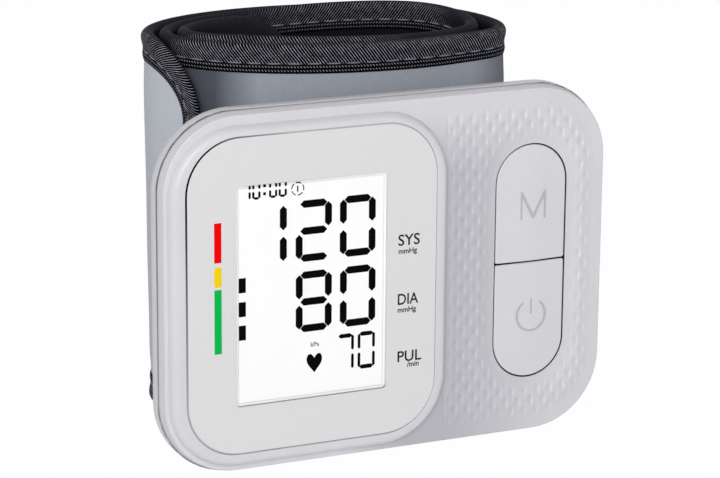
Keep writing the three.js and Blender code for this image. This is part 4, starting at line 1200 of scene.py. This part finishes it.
turns = np.linspace(INNER_END_TURN, OUTER_END_TURN, 4001)
inwards = WINDING_PITCH * (OUTER_LEFT_TURN - turns)


def swell_near(most, turn, width):
    """A smooth rise along the roll: most at one turn, and nothing a little before and after it."""
    return most * np.exp(-((turns - turn) / width) ** 2)


band_lift = swell_near(*BACK_LIFT) + swell_near(*FRONT_LIFT)
oval_x = (LOOP_LENGTH / 2 - inwards - swell_near(*RIGHT_SLACK)) * np.cos(2 * np.pi * turns)
oval_y = (LOOP_DEPTH / 2 - inwards) * np.sin(2 * np.pi * turns)
bend_share = np.clip((oval_x - BEND_FROM) / (BEND_TO - BEND_FROM), 0, 1) ** 2
oval_x = oval_x - BENT_IN * bend_share
oval_y = oval_y - BENT_FORWARDS * bend_share
band_x = oval_x * math.cos(LOOP_TILT) + oval_y * math.sin(LOOP_TILT) + LOOP_OFFSET
band_y = -oval_x * math.sin(LOOP_TILT) + oval_y * math.cos(LOOP_TILT)
along_x = np.gradient(band_x)
along_y = np.gradient(band_y)
pace = np.hypot(along_x, along_y)
out_x = along_y / pace
out_y = -along_x / pace
band_s = np.concatenate([[0], np.cumsum(np.hypot(np.diff(band_x), np.diff(band_y)))])
on_front = (turns > FRONT_TURNS[0]) & (turns < FRONT_TURNS[1])
front_most = np.min((band_y + BAND_HALF * out_y)[on_front])
band_y = band_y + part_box("cuff_fabric")[0].y / MM - front_most


def at_turn(turn):
    """How far along the band a turn of the roll lies, in mm."""
    return float(np.interp(turn, turns, band_s))


def on_band(s, z, out):
    """A point in metres: s along the band, z up, and out from its middle, in mm."""
    x = np.interp(s, band_s, band_x) + out * np.interp(s, band_s, out_x)
    y = np.interp(s, band_s, band_y) + out * np.interp(s, band_s, out_y)
    down = 1 - z / CUFF_HEIGHT
    up = z - FOOT_REACH * down + np.interp(s, band_s, band_lift)
    return Vector(((x + ROLL_LEAN * down) * MM, y * MM, up * MM))


def outwards(s):
    return Vector((np.interp(s, band_s, out_x), np.interp(s, band_s, out_y), 0)).normalized()


CONTACT = float(band_s[on_front][np.argmin(band_y[on_front])])
BAND_END = float(band_s[-1])
SEAM = at_turn(HINGE_TURN)
print("band", round(BAND_END, 1), "mm long, seam at", round(SEAM, 1))

# %% [markdown]
# ## Sheets on the band
# A cloth is cut flat and then rolled up, so a sheet is a plain grid that is sent onto the band point by
# point. It keeps its flat place as a UV map, which the weave reads.


# %% Sheets on the band
def mapped_grid(columns, rows, place):
    """A grid whose points go where place(column share, row share) says, with a UV map in mm."""
    bm = bmesh.new()
    verts = bmesh.ops.create_grid(bm, x_segments=columns, y_segments=rows, size=1)["verts"]
    flat = []
    for vert in verts:
        point, uv = place((vert.co.x + 1) / 2, (vert.co.y + 1) / 2)
        flat.append(uv)
        vert.co = point
    bm.verts.index_update()
    layer = bm.loops.layers.uv.new("UVMap")
    for face in bm.faces:
        for loop in face.loops:
            loop[layer].uv = flat[loop.vert.index]
    bm.normal_update()
    return bm


def face_along(bm, direction):
    """Turns an open sheet so that its first face looks along the direction."""
    bm.faces.ensure_lookup_table()
    if bm.faces[0].normal.dot(direction) < 0:
        bmesh.ops.reverse_faces(bm, faces=bm.faces)
    return bm


def corner_drop(s, free_end):
    """How far the rounded corner of a free end lowers the edge at s."""
    run = END_RADIUS - abs(s - free_end)
    return 0.0 if run <= 0 else END_RADIUS - math.sqrt(max(END_RADIUS ** 2 - run ** 2, 0.0))


def edge_distance(s, z, free_end):
    """Distance from the band's edge, with its rounded free end."""
    to_end = abs(s - free_end)
    to_side = min(z, CUFF_HEIGHT - z)
    if to_end < END_RADIUS and to_side < END_RADIUS:
        return END_RADIUS - math.hypot(END_RADIUS - to_end, END_RADIUS - to_side)
    return min(to_end, to_side)


def plain_sheet(start, end, edge, out, columns, rows, side=1):
    """A rectangle on the band that keeps the same distance from its two long edges."""
    def place(column, row):
        s = start + (end - start) * column
        z = edge + (CUFF_HEIGHT - 2 * edge) * row
        return on_band(s, z, out), (s, z)

    return face_along(mapped_grid(columns, rows, place), outwards(start) * side)


print("sheet helpers ready")

# %% [markdown]
# ## Shades along the cover
# The cover carries painted shadow where it slips under the free end and where it dives into the right-hand
# bend, and painted light makes it paler towards the free end. These places lie along the band, so the shades
# are ramps over U.

# %% Shades along the cover
SHADE_LEFT = at_turn(OUTER_END_TURN - 1)
SHADE_RIGHT = at_turn(FRONT_TURNS[1])
UNDER_END = (SHADE_LEFT + 1.0, SHADE_LEFT + 9.0)
INTO_BEND = (SHADE_RIGHT - 14.0, SHADE_RIGHT - 3.5)
OUT_OF_BEND = (SHADE_RIGHT - 2.0, SHADE_RIGHT + 14.0)
TO_TAIL = (SHADE_RIGHT, SEAM - 8.0)

cover_tree = finishes["cover_cloth"].node_tree
cover_colour = shader_of(finishes["cover_cloth"]).inputs["Base Color"]
cover_along = parts_of(add_node(cover_tree, "ShaderNodeUVMap").outputs[0])[0]
# Painted shadow under the free end and in the right-hand bend.
into_bend = ramp(cover_along, *INTO_BEND, 0.0, 0.85)
in_bend = sum_of("MULTIPLY", into_bend, ramp(cover_along, *OUT_OF_BEND, 1.0, 0.0))
in_shadow = sum_of("MAXIMUM", ramp(cover_along, *UNDER_END, 0.92, 0.0), in_bend)
# Painted light: the cover pales towards the free end to meet its paler cloth.
to_tail = ramp(cover_along, *TO_TAIL, 0.0, 1.0)
paler_painted_light = mix_colours(to_tail, cover_colour.links[0].from_socket, linear(188, 193, 201))
feed(cover_colour, mix_colours(in_shadow, paler_painted_light, linear(62, 66, 76)))
print("cover shades from", round(SHADE_LEFT), "to", round(SEAM), "mm along the band")

# %% [markdown]
# ## Cover and lining
# Smooth grey cloth lies outside, and a charcoal cloth against the wrist. Both are flat under the tape and
# swell over the air bladder. The free outer end has pieces of its own, because it peels open.

# %% Cloth sheets
EDGE_OUT = 0.7
PAD_OUT = 0.9
PAD_SWELL = (4.6, 10.5)
DRAPE = 0.05
DRAPE_ALONG = 7.3
DRAPE_LEAN = 11.0
DRAPE_ACROSS = 6.1
DRAPE_SHIFT = 0.6
CLOTH_STEP = 1.3
CLOTH_ROWS = 44
CLOTH_THICKNESS = 0.4
CLOTH_HEM = 0.6


def cloth_sheet(free_end, side):
    """One face of the band, from its free end to the seam. side is 1 outside and -1 inside."""
    start = free_end + CLOTH_HEM * (1 if SEAM > free_end else -1)

    def place(column, row):
        s = start + (SEAM - start) * column
        half = CUFF_HEIGHT / 2 - corner_drop(s, free_end) - CLOTH_HEM
        z = CUFF_HEIGHT / 2 + (2 * row - 1) * half
        swell = smooth_share(edge_distance(s, z, free_end), *PAD_SWELL)
        drape = math.sin(s / DRAPE_ALONG + z / DRAPE_LEAN) * math.sin(z / DRAPE_ACROSS + DRAPE_SHIFT)
        return on_band(s, z, side * (EDGE_OUT + (PAD_OUT - EDGE_OUT + DRAPE * drape) * swell)), (s, z)

    columns = max(8, round(abs(SEAM - free_end) / CLOTH_STEP))
    return face_along(mapped_grid(columns, CLOTH_ROWS, place), outwards(free_end) * side)


def cloth_piece(name, free_end, side, finish, body, node):
    piece = new_piece(name, cloth_sheet(free_end, side), finish, body, (node,))
    wall(piece, CLOTH_THICKNESS)
    return piece


cuff_cover = cloth_piece("cuff_cover", 0, 1, "cover_cloth", "monitor", "cuff_fabric")
cuff_inside = cloth_piece("cuff_inside", 0, -1, "lining_cloth", "monitor", "cuff_lining")
# The free end's cover is painted paler, as painted light.
tail_cover = cloth_piece("tail_cover", BAND_END, 1, "tail_cloth", None, "tail_fabric")
tail_inside = cloth_piece("tail_inside", BAND_END, -1, "lining_cloth", None, "tail_lining")

# %% [markdown]
# ## Route of the tape
# A ribbed tape is folded over the whole edge: a fat rounded rim with two legs, pinched in at the
# stitching. It runs from the seam along the top of the band, round the free end and back along the bottom.

# %% Route of the tape
TAPE_WIDTH = 5.15
RIM_HALF = 1.2
STITCH_DEPTH = 3.4
WAIST_PINCH = 0.34
LEG_FLARE = 0.14
HEM_PINCH = 0.16
LEG_REACH = 0.7
LEG_SEGMENTS = 10
RIM_SEGMENTS = 12
END_NARROW = 0.42


def tape_half(depth):
    """Half of the tape's thickness at a depth below the rim."""
    if depth < RIM_HALF:
        return RIM_HALF * math.sqrt(max(1 - (1 - depth / RIM_HALF) ** 2, 0))
    waist = RIM_HALF - WAIST_PINCH * smooth_share(depth, RIM_HALF, STITCH_DEPTH)
    flare = LEG_FLARE * smooth_share(depth, STITCH_DEPTH, STITCH_DEPTH + LEG_REACH)
    return waist + flare - HEM_PINCH * smooth_share(depth, TAPE_WIDTH - LEG_REACH, TAPE_WIDTH)


def tape_section():
    """Points (depth, out) from the outer leg over the rim to the inner leg."""
    leg = [TAPE_WIDTH + (RIM_HALF - TAPE_WIDTH) * i / LEG_SEGMENTS for i in range(LEG_SEGMENTS)]
    points = [(d, tape_half(d)) for d in leg]
    angles = [math.pi * i / RIM_SEGMENTS for i in range(RIM_SEGMENTS + 1)]
    points += [(RIM_HALF * (1 - math.sin(a)), RIM_HALF * math.cos(a)) for a in angles]
    points += [(d, -tape_half(d)) for d in reversed(leg)]
    return points


def tape_route(free_end, step):
    """Stops (s, z, inward s, inward z) along the route, and how far along it each one lies."""
    way = 1 if SEAM > free_end else -1
    top, radius = CUFF_HEIGHT, END_RADIUS
    run = np.linspace(SEAM, free_end + way * radius, max(2, round(abs(SEAM - free_end) / step)))
    bend = np.linspace(0, math.pi / 2, round(radius * math.pi / 2 / step))
    fall = np.linspace(top - radius, radius, round((top - 2 * radius) / step))
    upper = [(s, top, 0.0, -1.0) for s in run]
    upper += [(free_end + way * radius * (1 - math.sin(a)), top - radius + radius * math.cos(a),
               way * math.sin(a), -math.cos(a)) for a in bend[1:]]
    lower = [(s, top - z, in_s, -in_z) for s, z, in_s, in_z in reversed(upper[:-1])]
    stops = upper + [(free_end, z, way, 0.0) for z in fall[1:]] + lower
    flat = np.array([(s, z) for s, z, _, _ in stops])
    return stops, np.concatenate([[0], np.cumsum(np.hypot(*np.diff(flat, axis=0).T))])


def end_depth(depth, in_s, free_end):
    """The tape is drawn in round the outer free end, where it takes the wear, and is full elsewhere."""
    return depth * (1 - END_NARROW * in_s * in_s) if free_end > 0 else depth


print("tape", TAPE_WIDTH, "mm deep and", round(2 * tape_half(STITCH_DEPTH), 2), "mm thick at the stitches")

# %% [markdown]
# ## Binding tape
# The section is carried along the route as one grid. The ribs are pressed flat where the turns rub on each
# other, and they give way to painted shade where the tape faces sideways or up and on the inner left wall;
# rib_share keeps both for the finish.

# %% Binding tape
TAPE_STEP = 1.0
TAPE_THICKNESS = 0.28
RIB_FACING = (0.12, 0.5)
INNER_RIBS = 0.75
INNER_RIBS_COME = (0.62, 0.70)
INNER_RIBS_GO = (1.26, 1.33)
OUTER_RIBS_GO = (0.74, 0.82)
OUTER_RIBS_COME = (1.4, 1.5)


def rib_wear_and_shade(s, side):
    """How much of the ribs is left on the outer (1) or the inner (-1) leg: worn away where the turns rub,
    and painted shade on the inner leg round the inner left wall.
    """
    turn = float(np.interp(s, band_s, turns))
    if side < 0:
        return INNER_RIBS * smooth_share(turn, *INNER_RIBS_COME) * (1 - smooth_share(turn, *INNER_RIBS_GO))
    return 1 - smooth_share(turn, *OUTER_RIBS_GO) * (1 - smooth_share(turn, *OUTER_RIBS_COME))


def binding(free_end):
    stops, lengths = tape_route(free_end, TAPE_STEP)
    section = tape_section()
    # worn gathers both the wear of the ribs and their painted shade.
    worn = []

    def place(column, row):
        stop = round(column * (len(stops) - 1))
        s, z, in_s, in_z = stops[stop]
        depth, out = section[round(row * (len(section) - 1))]
        reach = end_depth(depth, in_s, free_end)
        worn.append(rib_wear_and_shade(s, out))
        return on_band(s + in_s * reach, z + in_z * reach, out), (lengths[stop], math.copysign(depth, out))

    grid = mapped_grid(len(stops) - 1, len(section) - 1, place)
    rib_share = grid.verts.layers.float.new("rib_share")
    for vert, share in zip(grid.verts, worn):
        # Painted shade: the ribs fade to the dark face where the cuff tape faces sideways or up and where
        # the free end's tape faces up or down, since only faces towards the front and back catch the light.
        upright = vert.normal.to_2d().length if free_end > 0 else abs(vert.normal.y)
        vert[rib_share] = share * smooth_share(upright, *RIB_FACING)
    print("tape", round(lengths[-1]), "mm long")
    return face_along(grid, outwards(SEAM))


cuff_tape = new_piece("cuff_tape", binding(0), "rib_tape", replaces=("cuff_binding",))
tail_tape = new_piece("tail_tape", binding(BAND_END), "rib_tape", None, ("tail_binding",))
for piece in (cuff_tape, tail_tape):
    wall(piece, TAPE_THICKNESS)

# %% [markdown]
# ## Stitching
# The tape is sewn through with a pale thread. Each stitch is a slim bead in the pinched groove, on both
# faces of the band, along the same route.

# %% Stitching
ROUTE_STEP = 0.25
STITCH_PITCH = 3.5
STITCH_LENGTH = 2.6
THREAD = 0.3
STITCH_OUT = tape_half(STITCH_DEPTH) + 0.02
BEAD_TURN = Matrix.Rotation(math.pi / 2, 4, "Y")


def stitch_line(free_end):
    bm = bmesh.new()
    stops, lengths = tape_route(free_end, ROUTE_STEP)
    rows = np.array(stops)

    def stitch_end(length, side):
        s, z, in_s, in_z = (np.interp(length, lengths, rows[:, k]) for k in range(4))
        reach = end_depth(STITCH_DEPTH, in_s, free_end)
        return on_band(s + in_s * reach, z + in_z * reach, side * STITCH_OUT)

    for number in range(int(lengths[-1] / STITCH_PITCH)):
        middle = (number + 0.5) * STITCH_PITCH
        for side in (1, -1):
            start = stitch_end(middle - STITCH_LENGTH / 2, side)
            end = stitch_end(middle + STITCH_LENGTH / 2, side)
            lie = (end - start).to_track_quat("X", "Z").to_matrix().to_4x4()
            size = Matrix.Diagonal(((end - start).length / 2, THREAD * MM / 2, THREAD * MM / 2, 1))
            bead = Matrix.Translation((start + end) / 2) @ lie @ size @ BEAD_TURN
            bmesh.ops.create_uvsphere(bm, u_segments=6, v_segments=5, radius=1, matrix=bead)
    return bm


cuff_stitches = new_piece("cuff_stitches", stitch_line(0), "stitch_thread")
tail_stitches = new_piece("tail_stitches", stitch_line(BAND_END), "stitch_thread", None)

# %% [markdown]
# ## Hook patch
# Under the free end a patch of fine hooks grips the cover and keeps the cuff shut. It is one more sheet on
# the band. All pieces of the free end then have their placing baked into their meshes.

# %% Hook patch
HOOK_MARGIN = 12.0
HOOK_LENGTH = 26.0
HOOK_OUT = -1.45
HOOK_THICKNESS = 0.45
HOOK_GRID = (22, 32)
hook_start = BAND_END - HOOK_MARGIN
hook_sheet = plain_sheet(hook_start, hook_start - HOOK_LENGTH, HOOK_MARGIN, HOOK_OUT, *HOOK_GRID, -1)
hook_pile = new_piece("hook_pile", hook_sheet, "hook_pile", None, ("hook_patch",))
wall(hook_pile, HOOK_THICKNESS)
for piece in (tail_cover, tail_inside, tail_tape, tail_stitches, hook_pile):
    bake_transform(piece)

# %% [markdown]
# ## Inside the band
# A thin curled sheet makes the cuff wrap by itself, beside the flat air bladder. Neither shows, so each is
# a plain sheet in the place of its CAD solid.

# %% Inside the band
PAD_EDGE = 11.0
BLADDER_LENGTH = 120.0
CURL_SETBACK = 45.0
CURL_OUT = 0.42
BLADDER_OUT = -0.12
CORE_THICKNESS = 0.3
CORE_ROWS = 12


def core_sheet(name, start, end, out, node):
    grid = plain_sheet(start, end, PAD_EDGE, out, round((end - start) / CLOTH_STEP), CORE_ROWS)
    piece = new_piece(name, grid, "inner_plastic", replaces=(node,))
    wall(piece, CORE_THICKNESS)
    return piece


bladder_start = CONTACT - BLADDER_LENGTH / 2
core_sheet("curl_sheet", CURL_SETBACK, SEAM - CURL_SETBACK, CURL_OUT, "cuff_stiffener")
bladder = core_sheet("bladder_film", bladder_start, bladder_start + BLADDER_LENGTH, BLADDER_OUT,
                     "air_bladder")

# %% [markdown]
# ## Cloth facts
# The four cloths are cut as high as the cuff and as long as their stretch of the band.

# %% [markdown]
# ## Floor and light
# The object stands on a white sweep in a bright room. Floor and room read as plain white where they are
# looked at, and give only a soft light. Two large lamps in front draw the edges.

# %% Floor and light
FLOOR_HALF = 3.0
FLOOR_DROP = 0.1
FLOOR_WHITE = 0.985
FLOOR_CLOUDS = 6.0
ROOM_LIGHT = 0.36
ROOM_SWING = 0.35
LAMP_TARGET = Vector((0, 0, 0.03))
# Place in metres, size in metres and power in watts
LAMPS = {"key_lamp": ((-0.42, -0.7, 0.42), 0.6, 4.4), "fill_lamp": ((0.1, -0.85, 0.3), 0.5, 0.8)}


def seen_directly(tree):
    """1 where it is looked at, straight or by way of a gloss, and 0 where it gives light."""
    path = add_node(tree, "ShaderNodeLightPath").outputs
    by_way = sum_of("MAXIMUM", path["Is Glossy Ray"], path["Is Transmission Ray"])
    return sum_of("MAXIMUM", path["Is Camera Ray"], by_way)


bm = bmesh.new()
bmesh.ops.create_grid(bm, x_segments=1, y_segments=1, size=FLOOR_HALF,
                      matrix=Matrix.Translation((0, 0, -(FOOT_REACH + FLOOR_DROP) * MM)))
floor_mesh = bpy.data.meshes.new("floor")
bm.to_mesh(floor_mesh)
bm.free()
floor = add_object("floor", floor_mesh)
floor_finish = new_finish("pale_floor")
floor_tree = floor_finish.node_tree
floor_cloud = noise(add_node(floor_tree, "ShaderNodeTexCoord").outputs["Object"], FLOOR_CLOUDS, 2.0)
floor_colour = mix_colours(floor_cloud, linear(250, 250, 250), linear(246, 246, 246))
floor_shader = set_inputs(shader_of(floor_finish), Base_Color=floor_colour, Roughness=0.9)
floor_glow = add_node(floor_tree, "ShaderNodeEmission", Color=(1, 1, 1, 1), Strength=1.0)
floor_share = sum_of("MULTIPLY", seen_directly(floor_tree), FLOOR_WHITE)
floor_mix = add_node(floor_tree, "ShaderNodeMixShader", _0=floor_share, _1=floor_shader.outputs[0],
                     _2=floor_glow.outputs[0])
set_inputs(floor_tree.nodes["Material Output"], Surface=floor_mix.outputs[0])
floor_mesh.materials.append(floor_finish)

world = bpy.data.worlds.new("studio")
bpy.context.scene.world = world
world.use_nodes = True
sky = world.node_tree
sky_across = parts_of(add_node(sky, "ShaderNodeTexCoord").outputs["Generated"])[0]
room_light = ramp(sky_across, -1.0, 1.0, ROOM_LIGHT * (1 + ROOM_SWING), ROOM_LIGHT * (1 - ROOM_SWING))
set_inputs(sky.nodes["Background"], Color=(1, 1, 1, 1),
           Strength=sum_of("MAXIMUM", room_light, seen_directly(sky)))

for name, (place, size, power) in LAMPS.items():
    lamp = bpy.data.lights.new(name, "AREA")
    lamp.size = size
    lamp.energy = power
    aim = (LAMP_TARGET - Vector(place)).to_track_quat("-Z", "Y")
    add_object(name, lamp).matrix_world = Matrix.Translation(place) @ aim.to_matrix().to_4x4()
print("floor, room light and", len(LAMPS), "lamps set")

# %% [markdown]
# ## Inner pieces
# The pieces inside keep their CAD solids. Each takes a finish by the material that its slot is named
# after.

# %% Inner pieces
INNER = {"board": "circuit_board", "rubber": "soft_rubber", "steel": "plated_steel",
         "cell_wrap": "cell_wrap", "inner_plastic": "inner_plastic", "film": "inner_plastic",
         "shell": "shell_plastic"}
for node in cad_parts.values():
    slot_name = node.data.materials[0].name if node.data.materials else "inner_plastic"
    finish = next((f for key, f in INNER.items() if key in slot_name), "inner_plastic")
    node.data.materials.clear()
    node.data.materials.append(finishes[finish])
print("finishes on", len(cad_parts), "CAD nodes")

bpy.context.view_layer.update()
